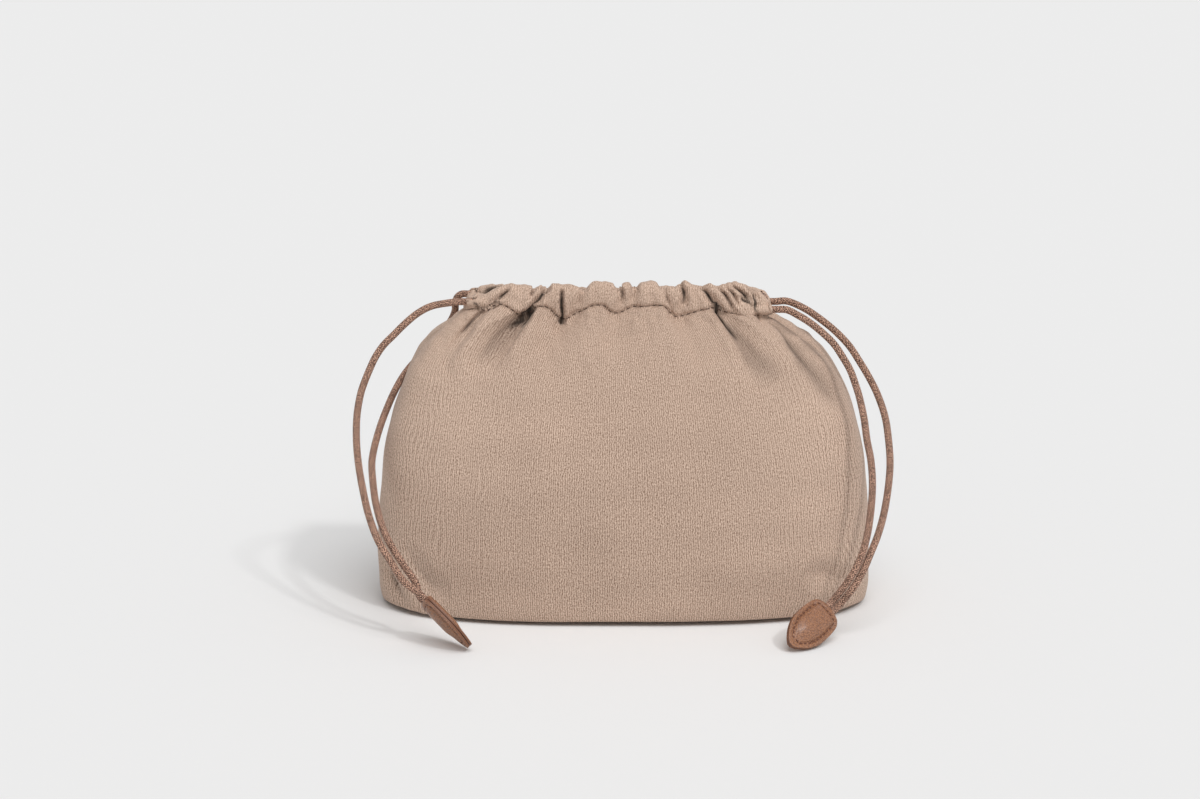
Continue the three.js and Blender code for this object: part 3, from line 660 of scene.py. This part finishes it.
# Heights along the mouth as (x, z): each rim, with a notch between the gathers, and each hem's stitch line
FRONT_RIM = np.array([
    (-88, 174.8), (-84, 175.8), (-81, 175.8), (-78, 176.2), (-75, 178.0), (-70, 180.3), (-63.4, 181.8),
    (-58, 181.5), (-52.9, 181.0), (-49.9, 179.2), (-47, 180.8), (-43.7, 179.9), (-40, 181.7), (-36.9, 182.6),
    (-33.9, 181.8), (-29.8, 181.3), (-26, 180), (-23.3, 179.0), (-20, 181.8), (-17.2, 183.1), (-10.7, 183.2),
    (-7.5, 182), (-4.9, 180.2), (-1.9, 182.6), (1, 182.8), (4.6, 179.9), (8, 182.6), (12.3, 183.7),
    (16, 182.6), (20, 179.8), (22.4, 180.8), (26, 180.4), (29, 182.6), (31.9, 183.6), (36, 181.9),
    (40.2, 181.6), (45.5, 182), (47.9, 180.6), (53.9, 181.6), (59.7, 183.3), (63.9, 181.8), (69.9, 178.9),
    (74, 177.4), (77.6, 175.0), (80, 172.6)])
FRONT_STITCH = np.array([
    (-88, 167.0), (-80.7, 169.0), (-77.4, 167.6), (-74, 170.2), (-70.4, 171.6), (-66.8, 170.6), (-63.8, 169.0),
    (-60.9, 166.9), (-58.3, 164.6), (-55, 165.5), (-50, 169.5), (-47, 170.3), (-44, 169.9), (-41.6, 168.4),
    (-38.7, 165.7), (-35.4, 162.9), (-32.5, 163.5), (-27.4, 166.3), (-22.7, 168.7), (-19.7, 170.3),
    (-12.6, 170.6), (-9, 167.5), (-6, 166.4), (-1.9, 167.4), (2.8, 169.8), (8.1, 170.3), (14.1, 170.7),
    (19.9, 170.6), (22.4, 168.7), (24.2, 166.6), (27.1, 164.4), (31.9, 165.2), (38.4, 167.5), (44.4, 168.9),
    (48.9, 169.3), (53.8, 167.4), (57, 166.5), (62, 165.6), (66.9, 165.0), (74, 164.6), (80, 164.2)])
BACK_RIM = np.array([
    (-88, 174.4), (-84, 175.4), (-80, 177.2), (-74, 178.6), (-69, 178.0), (-64, 176.6), (-57, 176.4),
    (-50, 175.8), (-46, 176.4), (-38, 175.8), (-31, 176.2), (-22, 176.4), (-14, 175.7), (-8, 176.3),
    (2, 176.5), (10, 175.7), (18, 176.3), (26, 176.5), (34, 175.8), (41, 176.2), (50, 176.5), (57, 175.8),
    (64, 176.6), (71, 176.4), (77, 175.2), (80, 173.5)])
BACK_STITCH = np.array([
    (-88, 167.0), (-80, 167.4), (-72, 167.8), (-64, 165.6), (-55, 164.8), (-46, 163.0), (-38, 160.6),
    (-31, 162.8), (-22, 163.6), (-14, 160.2), (-8, 162.6), (2, 163.8), (10, 160.8), (18, 163.2), (26, 163.8),
    (34, 160.8), (41, 163.4), (50, 164.0), (57, 161.6), (64, 163.0), (71, 163.6), (77, 164.0), (80, 164.2)])

# Folds of the front cloth as lines of (x, z, depth, width) in mm, where a negative depth is a ridge
FRONT_FOLDS = [
    [(-43.5, 181, 2.8, 1.4), (-46.5, 176.5, 3.8, 1.5), (-49.5, 172.4, 4.2, 1.6), (-54.5, 165.1, 4.2, 1.9),
     (-57.5, 162.3, 2.6, 2.2), (-61, 159, 0.2, 3.0)],
    [(-56, 165.5, 2.4, 2.2), (-62, 161, 4.2, 3.2), (-68, 156, 3.8, 4.6), (-76, 149.5, 2.2, 6.5),
     (-87, 141, 0.1, 10.0)],
    [(-35.3, 178.5, 2.4, 0.9), (-35.5, 172, 3.8, 1.1), (-35.3, 163.6, 3.4, 1.2), (-36, 160, 0.6, 2.4)],
    [(-40.5, 164.5, 0.6, 2.0), (-37.5, 160, 1.2, 2.2), (-36.5, 155, 0.1, 4.0)],
    [(-65.3, 179.5, 2.6, 1.2), (-70.3, 174.1, 2.6, 1.5), (-73.5, 170, 1.0, 2.4)],
    [(-77.6, 169.1, 1.6, 2.0), (-86.9, 161, 2.8, 2.8), (-95, 153, 2.2, 4.0), (-103, 145, 1.0, 6.0),
     (-111, 136, 0.1, 8.0)],
    [(-4.9, 181.5, 2.0, 1.2), (-2.5, 177.4, 2.8, 1.3), (-2.6, 174.5, 1.6, 1.5), (-4.5, 168, 1.0, 2.4),
     (-6.5, 162, 0.1, 3.4)],
    [(-23.3, 179.5, 1.4, 1.6), (-25.5, 174, 1.6, 2.2), (-28, 168, 1.0, 3.0), (-29.5, 163.5, 0.2, 4.0)],
    [(4.6, 181.5, 1.6, 1.4), (4.0, 177, 1.6, 1.8), (2.8, 172, 0.8, 2.4)],
    [(19.9, 181, 1.4, 1.8), (22.7, 174.1, 2.0, 2.2), (24.4, 167.3, 1.4, 2.8), (24, 162, 0.1, 4.0)],
    [(28.6, 183.5, 2.0, 1.3), (31.4, 178.4, 3.2, 1.4), (31.6, 174.5, 2.4, 1.6), (29.5, 169, 1.0, 2.4),
     (26.5, 162, 0.2, 4.0)],
    [(40.1, 182.6, 2.0, 1.6), (43.4, 178.8, 3.0, 1.7), (48.9, 169.8, 4.0, 2.0), (55, 162, 4.0, 2.6),
     (60, 156.3, 2.4, 3.2), (65, 150.5, 0.1, 6.0)],
    [(47, 183, -1.0, 2.5), (57, 173, -2.2, 3.6), (68, 163, -2.2, 4.6), (80, 151, -1.2, 7.0),
     (90, 141, -0.1, 9.0)],
    [(57.1, 182.7, 1.6, 1.2), (61.5, 180.2, 2.6, 1.3), (64.8, 177, 3.2, 1.3), (68, 172.5, 2.6, 1.4),
     (69.5, 169, 1.2, 1.8)],
    [(62.4, 175.4, 1.2, 1.2), (64.3, 174, 4.4, 1.6), (66.8, 172.6, 3.0, 1.2)],
    [(67, 181, 2.4, 1.0), (70.2, 177.5, 3.6, 1.1), (71.4, 173.5, 3.8, 1.2), (71, 168.6, 2.6, 1.6),
     (74, 162, 1.2, 2.8), (80, 154, 0.1, 4.6)],
    [(49.2, 181, 1.4, 1.1), (53.7, 177.2, 2.8, 1.2), (57, 172, 2.8, 1.3), (58.6, 168.6, 1.4, 1.6)],
    [(54.4, 181, 1.6, 1.0), (58.6, 177, 2.4, 1.1), (60.8, 172, 1.8, 1.3)],
    [(-52.2, 176.6, 1.8, 0.9), (-49.8, 180.4, 2.8, 0.8)],
    [(-84.8, 174, 2.2, 1.2), (-83, 171.6, 3.2, 1.2), (-81.2, 169.6, 1.8, 1.4)],
    [(66.9, 168.6, 0.4, 2.4), (84, 159.5, 1.8, 2.6), (95, 146.5, 2.4, 3.0), (107, 132, 2.0, 3.6),
     (116, 120, 1.2, 4.6), (124, 104, 0.1, 6.0)],
    [(54, 164.5, 1.0, 2.2), (59.5, 158.5, 4.2, 3.0), (65.5, 152.5, 4.0, 4.4), (73, 144, 2.2, 6.5),
     (82, 133, 0.1, 10.0)],
    [(-80, 172, -0.6, 3.0), (-88, 165.5, -1.4, 3.6), (-100, 155.5, -1.4, 5.0), (-113, 142, -0.1, 8.0)],
    [(-66, 169.5, -0.4, 2.6), (-76, 160.5, -1.6, 4.0), (-88, 150.5, -1.6, 5.5), (-99, 139, -0.1, 9.0)],
    [(-29.1, 147.8, 0.2, 3.0), (-10, 153.5, 0.8, 3.0), (7.1, 157.8, 0.8, 3.0), (24, 160.2, 0.5, 3.4),
     (40.6, 161.7, 0.1, 4.0)],
    [(-50, 171, -1.0, 3.0), (-53, 160, -1.4, 4.0), (-60, 150, -0.6, 6.0), (-70, 140, -0.1, 9.0)],
    [(-16, 163, 0.7, 2.2), (-17.5, 157, 0.2, 3.4)],
    [(11, 165, 0.7, 2.0), (11.5, 158, 0.1, 3.6)],
    [(-135, 28, 0.8, 2.4), (-130, 18, 2.6, 2.4), (-124, 9, 1.4, 2.8)],
    [(-122, 42, 0.2, 5.0), (-118, 31, 1.8, 5.0), (-109, 21, 1.5, 5.0), (-97, 14, 0.1, 6.0)],
    [(96, 29, 0.2, 5.0), (108, 27, 2.0, 5.0), (119, 22, 2.0, 4.6), (127, 10, 0.6, 4.0)],
    [(38.5, 163, 0.8, 2.2), (41.5, 156, 0.1, 3.8)],
    [(-46.5, 165, 0.8, 2.2), (-48.5, 157, 0.1, 3.8)]]


def fold_field(x, z, folds):
    """How far the cloth goes in, and how sharply it is creased there, as a share. Each fold is the largest
    value along its line of depth times a narrow bell of the distance over the width, less a low lip on both
    sides, with a slit along the bottom of the deep and narrow ones. Folds join by the root of their squares."""
    valley, ridge, crease = np.zeros_like(x), np.zeros_like(x), np.zeros_like(x)
    for fold in folds:
        line = np.asarray(fold, float)
        field = np.zeros_like(x)
        for (x0, z0, d0, w0), (x1, z1, d1, w1) in zip(line[:-1], line[1:]):
            dx, dz = x1 - x0, z1 - z0
            t = np.clip(((x - x0) * dx + (z - z0) * dz) / (dx * dx + dz * dz), 0, 1)
            apart = np.hypot(x - x0 - t * dx, z - z0 - t * dz)
            width = w0 + (w1 - w0) * t
            distance = apart / width
            deep = d0 + (d1 - d0) * t
            pinch = np.exp(-(apart / 0.65) ** 2) * np.clip((3.6 - width) / 1.2, 0, 1)
            slit = 0.6 * np.maximum(deep - 1.2, 0) * pinch
            crease = np.maximum(crease, np.clip((deep - 1.3) / 2.0, 0, 1) * pinch ** 0.6)
            bell = np.exp(-distance ** 1.25) - 0.16 * np.exp(-((distance - 2.3) / 0.8) ** 2)
            value = deep * bell + slit
            field = np.where(np.abs(value) > np.abs(field), value, field)
        valley = np.hypot(valley, np.maximum(field, 0))
        ridge = np.hypot(ridge, np.minimum(field, 0))
    return valley - ridge, crease


def ripples(x, y, z, wavelength, seed, count=14):
    """A seeded sum of plane waves near one wavelength, with a spread of directions, of about unit height."""
    rng = np.random.default_rng(seed)
    total = np.zeros(np.broadcast(x, y, z).shape)
    for _ in range(count):
        way = rng.normal(size=3)
        way *= 2 * np.pi / (wavelength * rng.uniform(0.7, 1.5)) / np.linalg.norm(way)
        total = total + np.cos(x * way[0] + y * way[1] + z * way[2] + rng.uniform(0, 2 * np.pi))
    return total / math.sqrt(count / 2)


def outline_at(angle, squareness):
    """A unit superellipse: the point at an angle, scaled so that its powers add up to one."""
    c, s = np.cos(angle), np.sin(angle)
    reach = (np.abs(c) ** squareness + np.abs(s) ** squareness) ** (-1 / squareness)
    return c * reach, s * reach


def spread_columns(count):
    """Angles from one side seam to the other that are evenly spaced along the mouth's outline."""
    angle = np.linspace(0, np.pi, 4001)
    cx, cy = outline_at(angle, MOUTH_SQUARENESS)
    run = distance_along(np.stack([cx * MOUTH_HALF, cy * MOUTH_DEPTH], axis=1))
    return np.interp(np.linspace(0, run[-1], count), run, angle)


def body_rows(count):
    """Samples of the body profile, twice as close at the shoulder as at the base."""
    curve = catmull_rom(BODY_PROFILE, np.linspace(0, 1, 3000))
    length = distance_along(curve)
    z = curve[1:, 2]
    spacing = 1.9 - 1.25 * smooth((z - 90) / 60) - 0.9 * np.exp(-(z / 5) ** 2)
    run = np.concatenate([[0], np.cumsum(np.diff(length) / spacing)])
    at = np.linspace(0, run[-1], count)
    samples = np.stack([np.interp(at, run, curve[:, k]) for k in range(3)], axis=1)
    return samples, np.interp(at, run, length)


HALF_COLUMNS = 465
BODY_ROWS = 132
CASING_ROWS = 58
# The power of the hem's section, its first and last angle, and its half height for the length of its cloth
CASING_SQUARENESS = 2.8
CASING_ANGLES = -50, 232
HEM_RISE = 7.5
FOLD_STRENGTH = 1.5
DEEPEST_FOLD = 6.0
# Above this height the cloth takes up the wave of the stitch line
WAVE_START = 128.0

# Heights of the cords' middle inside the front hem, the back hem and the bunched ends
FRONT_RUNS = 174.1
BACK_RUNS = 171.3
END_RUNS = 169.95
# The least distance of the cloth's outer face from a cord's axis: its radius and the cloth over it
CORD_COVER = 2.75


def level_along(line, x):
    """Heights at distances along the mouth, by a smooth curve through a line of (x, z)."""
    curve = catmull_rom(np.column_stack([line, np.zeros(len(line))]), np.linspace(0, 1, 3000))
    return np.interp(x, curve[:, 0], curve[:, 1])


def corner_lift(x, y, z):
    """The front corners of the base rise a few mm off the floor, and its front edge about 2 mm, so that a dark
    gap shows under it, fading out up the cloth."""
    corner = 3.6 * smooth((np.abs(x) - 92) / 46) * smooth((-y - 6) / 34) * (1 - smooth(z / 30))
    edge = (1.8 + 0.4 * smooth((x + 50) / 70)) * smooth((-y - 22) / 26) * (1 - smooth(z / 14))
    return np.maximum(corner, edge)


def shell_grid(facing):
    """The half shell before folds, from seam to seam: level superellipses up the body profile, then a hem
    whose section is a fat superellipse carried round the mouth, over the rim and down its inner side."""
    angle = spread_columns(HALF_COLUMNS)
    angle = angle + np.pi if facing < 0 else angle
    profile, length = body_rows(BODY_ROWS)
    up = profile[:, 2] / NECK
    square = BASE_SQUARENESS + (MOUTH_SQUARENESS - BASE_SQUARENESS) * up ** 4
    cx, cy = outline_at(angle[None, :], square[:, None])
    shift = BASE_CENTRE + (MOUTH_CENTRE - BASE_CENTRE) * up ** 3
    x = cx * profile[:, :1] + shift[:, None]
    y = cy * profile[:, 1:2]
    nx, ny = outline_at(angle, MOUTH_SQUARENESS)
    mouth_x = nx * MOUTH_HALF + MOUTH_CENTRE
    stitch, rim = (FRONT_STITCH, FRONT_RIM) if facing < 0 else (BACK_STITCH, BACK_RIM)
    stitch_z, rim_z = (level_along(line, mouth_x) for line in (stitch, rim))
    wave = smooth((profile[:, 2:] - WAVE_START) / (NECK - WAVE_START))
    z = profile[:, 2:] + (stitch_z - NECK)[None, :] * wave
    z = z + corner_lift(x, y, z)
    phi = np.radians(np.linspace(*CASING_ANGLES, CASING_ROWS))
    px, pz = outline_at(phi, CASING_SQUARENESS)
    rise = (rim_z - stitch_z) / (1 - pz[0])
    middle = rim_z - rise
    out = (px - px[0]) * HEM_HALF - HEM_LEAN * (pz - pz[0])
    power = MOUTH_SQUARENESS - 1
    plan = np.stack([np.sign(n) * np.abs(n) ** power / half
                     for n, half in ((nx, MOUTH_HALF), (ny, MOUTH_DEPTH))])
    plan /= np.linalg.norm(plan, axis=0)
    hem_x = x[-1][None, :] + plan[0][None, :] * out[:, None]
    hem_y = y[-1][None, :] + plan[1][None, :] * out[:, None]
    hem_z = middle[None, :] + rise[None, :] * pz[:, None]
    grid = np.stack([np.vstack([x, hem_x[1:]]), np.vstack([y, hem_y[1:]]), np.vstack([z, hem_z[1:]])], axis=-1)
    outer = np.concatenate([np.ones(BODY_ROWS), 0.5 + 0.5 * np.cos(phi[1:])])
    hem_length = distance_along(np.stack([px * HEM_HALF, pz * HEM_RISE], axis=1))
    run = np.concatenate([length, length[-1] + hem_length[1:]])
    return grid, outer, run, plan


def grid_normals(grid):
    """Unit normals of a grid of points, from its differences along rows and columns."""
    normal = np.cross(np.gradient(grid, axis=1), np.gradient(grid, axis=0))
    return normal / np.maximum(np.linalg.norm(normal, axis=-1, keepdims=True), 1e-9)


def fold_depth(grid, outer, facing):
    """How far each point of the shell goes in along its normal, in mm, and its crease as a share."""
    x, y, z = grid[..., 0], grid[..., 1], grid[..., 2]
    seam = smooth(np.abs(y) / (0.45 * np.interp(z, BODY_PROFILE[2:, 2], BODY_PROFILE[2:, 1]) + 1))
    if facing < 0:
        folds, crease = fold_field(x, z, FRONT_FOLDS)
    else:
        # The back's folds are the front's, mirrored, shifted about, lower and shallower
        mirrored = 2 * MOUTH_CENTRE - x + 5 * np.sin(x / 23)
        folds, crease = (0.8 * field for field in fold_field(mirrored, z + 5.5, FRONT_FOLDS))
    depth = FOLD_STRENGTH * folds * seam * outer[:, None]
    # A gather at each end of the mouth, which narrows upwards, and the side seam's groove below it
    top = smooth((z - 118) / 45)
    high = smooth((z - 158) / 12)
    gather = (2.4 - 1.4 * high) * np.exp(-(y / 3.0) ** 2) + (1.2 - 0.7 * high) * np.exp(-(y / 9.0) ** 2)
    depth += top * gather * np.exp(-((outer[:, None] - 1) / 0.8) ** 2)
    depth += 0.55 * np.exp(-(y / 1.1) ** 2) * (1 - top)
    # The groove of the hem's seam, then soft sags and small puckers that grow towards the hem
    rows = np.arange(len(grid)) - (BODY_ROWS - 1)
    depth += 0.75 * np.exp(-(rows / 1.6) ** 2)[:, None]
    calm = 1 - 0.75 * smooth((z - 150) / 20)
    depth += (0.9 * ripples(x, y, z, 95, 3) + 0.3 * ripples(x, y, z, 34, 5)) * calm * smooth(z / 12)
    depth += 0.3 * ripples(x, y, z * 0.3, 9, 7) * smooth((z - 122) / 34)
    depth += 0.16 * ripples(x, y, z * 0.6, 4.5, 13) * smooth((z - 152) / 14)
    return depth, crease * seam * outer[:, None]


def cord_axis(x, level, facing):
    """Where a cord's axis lies inside the hem, as its distance from the mouth's middle line and its height:
    drawn in by 1.5 mm along the middle of each side, and out to its bore at the ends."""
    away = np.abs(x - MOUTH_CENTRE)
    middle = (FRONT_RUNS if facing < 0 else BACK_RUNS) - END_RUNS
    outward = smooth((away - 46) / 12)
    z = END_RUNS + middle * smooth((RUN_HALF - away) / 50) + level * (1.9 + 0.25 * outward)
    return RUN_OFFSET - 1.5 * (1 - outward), z


def clear_of_cords(points, facing):
    """The cloth kept off the cords inside it: a point of the outer face that would lie nearer a cord's axis
    than the cord's radius and the cloth's thickness is moved straight outwards to that distance."""
    x, y, z = points[..., 0], np.abs(points[..., 1]), points[..., 2]
    for level, side in ((1, -1), (-1, 1)):
        across, height = cord_axis(x, level, facing)
        reach = (x - MOUTH_CENTRE) * side
        # Its free ends reach their exits. At the other side the cord turns back round the mouth.
        turned = np.clip(-reach - TURN_CENTRE, 0, RUN_OFFSET)
        across = np.where(turned > 0, np.sqrt(RUN_OFFSET ** 2 - turned ** 2), across)
        chord = np.sqrt(np.clip(CORD_COVER ** 2 - (z - height) ** 2, 0, None))
        # Only the cloth at the outer side of the cord is moved
        near = (chord > 0) & (reach < MOUTH_HALF - 0.4) & (y > across - 3.0 - 2.0 * smooth((reach - 72) / 6))
        y = np.where(near, np.maximum(y, across + chord), y)
    return np.stack([x, facing * y, z], axis=-1)


def fold_shell(facing):
    """The half shell with its folds, the numbers that its other pieces need, and each point's painted shading,
    as
    a share: painted shade at the bottoms of folds, along creases and on the side of the hem that faces into
    the mouth, and painted light a little below zero on the hem's outer face."""
    grid, outer, run, plan = shell_grid(facing)
    normal = grid_normals(grid)
    depth, crease = fold_depth(grid, outer, facing)
    held = np.where(depth > 0, DEEPEST_FOLD * np.tanh(depth / DEEPEST_FOLD), depth)
    folded = grid - normal * held[..., None]
    # The hem's outer face and the cloth just below it
    outside = slice(BODY_ROWS - 24, BODY_ROWS + CASING_ROWS // 2)
    folded[outside] = clear_of_cords(folded[outside], facing)
    # Both side edges lie on the seam's plane, so that the front and back halves meet
    folded[:, [0, -1], 1] = 0.0
    rows = (np.arange(len(grid)) - BODY_ROWS)[:, None]
    # Painted light: the hem's outer face is made paler than the body
    painted_hem_light = HEM_PAINTED_LIGHT * smooth((rows + 2) / 3.0)
    # Painted shade deep in folds and along creases
    painted_shading = 0.36 * smooth((depth - 1.5) / 3.6) + 0.82 * crease - painted_hem_light
    # Painted shade on the hem's side that faces into the mouth
    inner_side_shade = 0.5 * smooth((rows / CASING_ROWS - 0.55) / 0.2) * np.ones_like(depth)
    if facing > 0:
        # Painted shade, darkest deep in the left end of the mouth on the back rim's inner side
        sliver_shade = 0.9 * smooth((rows / CASING_ROWS - 0.56) / 0.1) * np.exp(-((grid[..., 0] + 73) / 6) ** 4)
        inner_side_shade = np.maximum(inner_side_shade, sliver_shade)
    painted_shading = np.where(inner_side_shade > 0, np.maximum(painted_shading, inner_side_shade), painted_shading)
    return folded, run, plan, painted_shading


# Cloth pieces

# The cloth's row, and the lining's row and column, along which the flat cloth is measured
BELLY_ROW = 60
LINING_ROW, LINING_COLUMN = 30, 170
HEM_STITCH_STEP = 3.7


def follow_rim(piece):
    """Bake a piece's transform into its mesh."""
    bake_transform(piece)


def quarters(facing, split, last):
    """The left and right quarter of a half shell: its first and last column, its side and its words."""
    word = "front" if facing < 0 else "back"
    for first, end, side in ((0, split, facing), (split, last, -facing)):
        yield first, end, side, word, "right" if side > 0 else "left"


def cloth_uv(across, up):
    """Places on the flat cloth, in metres, for a grid of columns across and rows up."""
    return np.stack(np.broadcast_arrays(across[None, :], up[:, None]), axis=-1).reshape(-1, 2) * MM


def shell_quarters(facing, folded, run, painted_shading):
    """The half shell split at the mouth's centre into two sheets that share its column."""
    rows, columns = folded.shape[:2]
    split = int(np.argmin(np.abs(folded[-CASING_ROWS, :, 0] - MOUTH_CENTRE)))
    belly = distance_along(folded[BELLY_ROW])
    for first, last, side, word, hand in quarters(facing, split, columns - 1):
        part = folded[:, first:last + 1]
        width = part.shape[1]
        piece = make_piece(f"{word}_{hand}_cloth", part.reshape(-1, 3), grid_quads(rows, width), [TWILL],
                           uv=cloth_uv(belly[first:last + 1], run), sharp=border(rows, width),
                           relief=painted_shading[:, first:last + 1].ravel())
        give_thickness(piece, CLOTH_THICKNESS)
        follow_rim(piece)
        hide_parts(f"{word}_panel", f"{word}_casing", f"{hand}_casing_end")
    return split


def lining_quarters(facing, folded, plan, split):
    """The lining: the folded cloth moved in by 2 mm, and by more near the hem so that it hangs from the hem's
    inner edge, seen from inside the pouch. It has half the cloth's columns where they pair up."""
    body = folded[4:BODY_ROWS - 1:2]
    inward = np.stack(np.broadcast_arrays(plan[0][None, :], plan[1][None, :], 0.0 * plan[0][None, :]), axis=-1)
    down = np.clip(body[..., 2] - (body[-1:, :, 2] - 16), 0, 16) / 16
    lining = body - inward * (2.2 + 4.3 * smooth(down))[..., None]
    lining[..., 2] = np.maximum(lining[..., 2], 5.0)
    hem_edge = folded[-1:] - inward * 0.25 - [0, 0, 0.2]
    lining = np.concatenate([lining, hem_edge], axis=0)
    lining[:, [0, -1], 1] = 0.0
    up, belly = distance_along(lining[:, LINING_COLUMN]), distance_along(lining[LINING_ROW])
    rows, columns = lining.shape[:2]
    for first, last, side, word, hand in quarters(facing, split, columns - 1):
        taken = slice(first, last + 1, 2 if (last - first) % 2 == 0 else 1)
        part = lining[:, taken]
        width = part.shape[1]
        piece = make_piece(f"{word}_{hand}_lining", part.reshape(-1, 3), grid_quads(rows, width)[:, ::-1],
                           [LINING], uv=cloth_uv(belly[taken], up), sharp=border(rows, width))
        give_thickness(piece, LINING_THICKNESS)
        follow_rim(piece)
        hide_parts(f"{word}_lining")


def hem_stitches(facing, folded, split):
    """Stitches along the hem's lower edge, 2.5 mm long at 3.7 mm steps, on the folded cloth's own surface."""
    below, row, above = folded[BODY_ROWS - 2:BODY_ROWS + 1]
    for first, last, side, word, hand in quarters(facing, split, len(row) - 1):
        run = distance_along(row[first:last + 1])
        count = int(run[-1] / HEM_STITCH_STEP)
        at = (np.arange(count) + 0.5) * run[-1] / count
        start, middle, end, upper, lower = (
            np.stack([np.interp(at + d, run, source[first:last + 1, k]) for k in range(3)], axis=1)
            for source, d in ((row, -1.1), (row, 0.0), (row, 1.1), (above, 0.0), (below, 0.0)))
        way = unit(end - start)
        out = unit(np.cross(way, upper - lower))
        piece = stitch_row(f"{word}_{hand}_hem_stitches", middle + out * 0.12, way, out, HEM_THREAD,
                           radius=0.33)
        follow_rim(piece)


def make_cloth():
    """Front and back halves of the pouch, each with its lining and its hem stitches."""
    for facing in (-1, 1):
        folded, run, plan, painted_shading = fold_shell(facing)
        split = shell_quarters(facing, folded, run, painted_shading)
        lining_quarters(facing, folded, plan, split)
        hem_stitches(facing, folded, split)


# Base and hidden cords

def flat_base(name, half_length, half_depth, low, thick, material, node, sag=0.0):
    """A flat closed sheet of the base's outline: rings of a superellipse shrinking to the middle on both faces,
    with a rounded rim, its front corners lifted as the cloth's are."""
    cx, cy = outline_at(np.linspace(0, 2 * np.pi, 160, endpoint=False), BASE_SQUARENESS)
    face = np.linspace(0.02, 0.99, 24)
    share = np.concatenate([face, [0.997, 1.0, 0.997], face[::-1]])
    height = np.concatenate([0 * face, [0.12, 0.5, 0.88], 0 * face + 1]) * thick + low
    x, y = share[:, None] * cx * half_length + BASE_CENTRE, share[:, None] * cy * half_depth
    z = height[:, None] + corner_lift(x, y, 0 * x) + sag * ripples(x, y, 0 * x, 60, 11)
    rings = np.stack([x, y, z], -1)
    points, quads = closed_rings(rings, rings[0].mean(axis=0), rings[-1].mean(axis=0))
    piece = make_piece(name, points, quads, [material], uv=points[:, :2] * MM)
    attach(piece, "pouch")
    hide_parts(node)


# The runs are a little thinner than the free ends, squeezed by the gathers, and hidden cords have fewer faces
RUN_RADIUS = 1.85
HIDDEN_BRAID = {"sides": 16, "step": 0.9}


def casing_cords():
    """The drawcords inside the hem: two runs through each side, split at the mouth's centre, and one turn
    round each end of the mouth."""
    for facing, word in ((-1, "front"), (1, "back")):
        for side, hand in ((-1, "left"), (1, "right")):
            for level, cord in ((1, "left"), (-1, "right")):
                x = MOUTH_CENTRE + side * np.linspace(0, RUN_HALF, 60)
                across, z = cord_axis(x, level, facing)
                path = np.stack([x, facing * across, z], axis=1)
                name = f"{cord}_drawcord_{word}_{hand}_run"
                piece = braided_tube(name, path, radius=RUN_RADIUS, **HIDDEN_BRAID)
                follow_rim(piece)
                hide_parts(f"{cord}_cord_{word}_run")
    for side, level, cord in ((1, UPPER, "left"), (-1, LOWER, "right")):
        bend = np.radians(np.linspace(-90, 90, 40))
        x = np.concatenate([[TURN_START], TURN_CENTRE + RUN_OFFSET * np.cos(bend), [TURN_START]])
        y = np.concatenate([[-RUN_OFFSET], RUN_OFFSET * np.sin(bend), [RUN_OFFSET]])
        path = np.stack([MOUTH_CENTRE + side * x, y, np.full(len(x), level)], axis=1)
        piece = braided_tube(f"{cord}_drawcord_turn", path, **HIDDEN_BRAID)
        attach(piece, "pouch")
        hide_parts(f"{cord}_cord_turn")


make_cloth()
casing_cords()
flat_base("base_cloth", 134.6, 55.4, 0.35, 1.0, TWILL, "base_panel")
flat_base("base_board_sheet", 130.8, 48.2, 1.7, 1.5, BOARD, "base_board")
flat_base("base_lining_cloth", 130.0, 47.0, 3.7, 0.6, LINING, "base_lining", sag=0.15)


# Studio

BACKDROP = "#ededed"
PAPER = "#ebebeb"
FLOOR_HALF = 12.0
SKY_STRENGTH = 0.415
# Each light's name, the way to it, its strength and its width in degrees
LIGHTS = (("key_light", (0.45, -0.5, 0.74), 0.62, 5.0),
          ("front_softbox", (0.15, -0.46, 0.875), 1.62, 48.0))


def make_floor():
    """A pale seamless floor 24 m wide, which keeps the shadow."""
    mesh = bpy.data.meshes.new("studio_floor")
    corners = [(x * FLOOR_HALF, y * FLOOR_HALF, 0) for x, y in ((-1, -1), (1, -1), (1, 1), (-1, 1))]
    mesh.from_pydata(corners, [], [(0, 1, 2, 3)])
    floor = bpy.data.objects.new("studio_floor", mesh)
    bpy.context.scene.collection.objects.link(floor)
    material, tree = new_material("studio_paper")
    paper = add_node(tree, "ShaderNodeBsdfDiffuse", {"Color": linear(PAPER)})
    add_node(tree, "ShaderNodeOutputMaterial", {0: paper})
    mesh.materials.append(material)


def make_lights():
    """A soft sky all round, a small key from the front right and one wide softbox high in front."""
    scene = bpy.context.scene
    world = bpy.data.worlds.new("studio_world")
    scene.world = world
    world.use_nodes = True
    tree = world.node_tree
    tree.nodes.clear()
    sky = add_node(tree, "ShaderNodeBackground", {"Color": (1, 1, 1, 1), "Strength": SKY_STRENGTH})
    paper = add_node(tree, "ShaderNodeBackground", {"Color": linear(BACKDROP), "Strength": 1.0})
    rays = add_node(tree, "ShaderNodeLightPath")
    seen = rays.outputs["Is Camera Ray"]
    for kind in ("Is Glossy Ray", "Is Transmission Ray"):
        seen = add_node(tree, "ShaderNodeMath", {0: seen, 1: rays.outputs[kind]}, operation="MAXIMUM")
    mix = add_node(tree, "ShaderNodeMixShader", {0: seen, 1: sky, 2: paper})
    add_node(tree, "ShaderNodeOutputWorld", {0: mix})
    for name, way, strength, width in LIGHTS:
        data = bpy.data.lights.new(name, "SUN")
        data.energy = strength
        data.angle = math.radians(width)
        light = bpy.data.objects.new(name, data)
        light.rotation_mode = "QUATERNION"
        light.rotation_quaternion = Vector(way).to_track_quat("Z", "Y")
        scene.collection.objects.link(light)
    scene.view_settings.view_transform = "Standard"


make_floor()
make_lights()
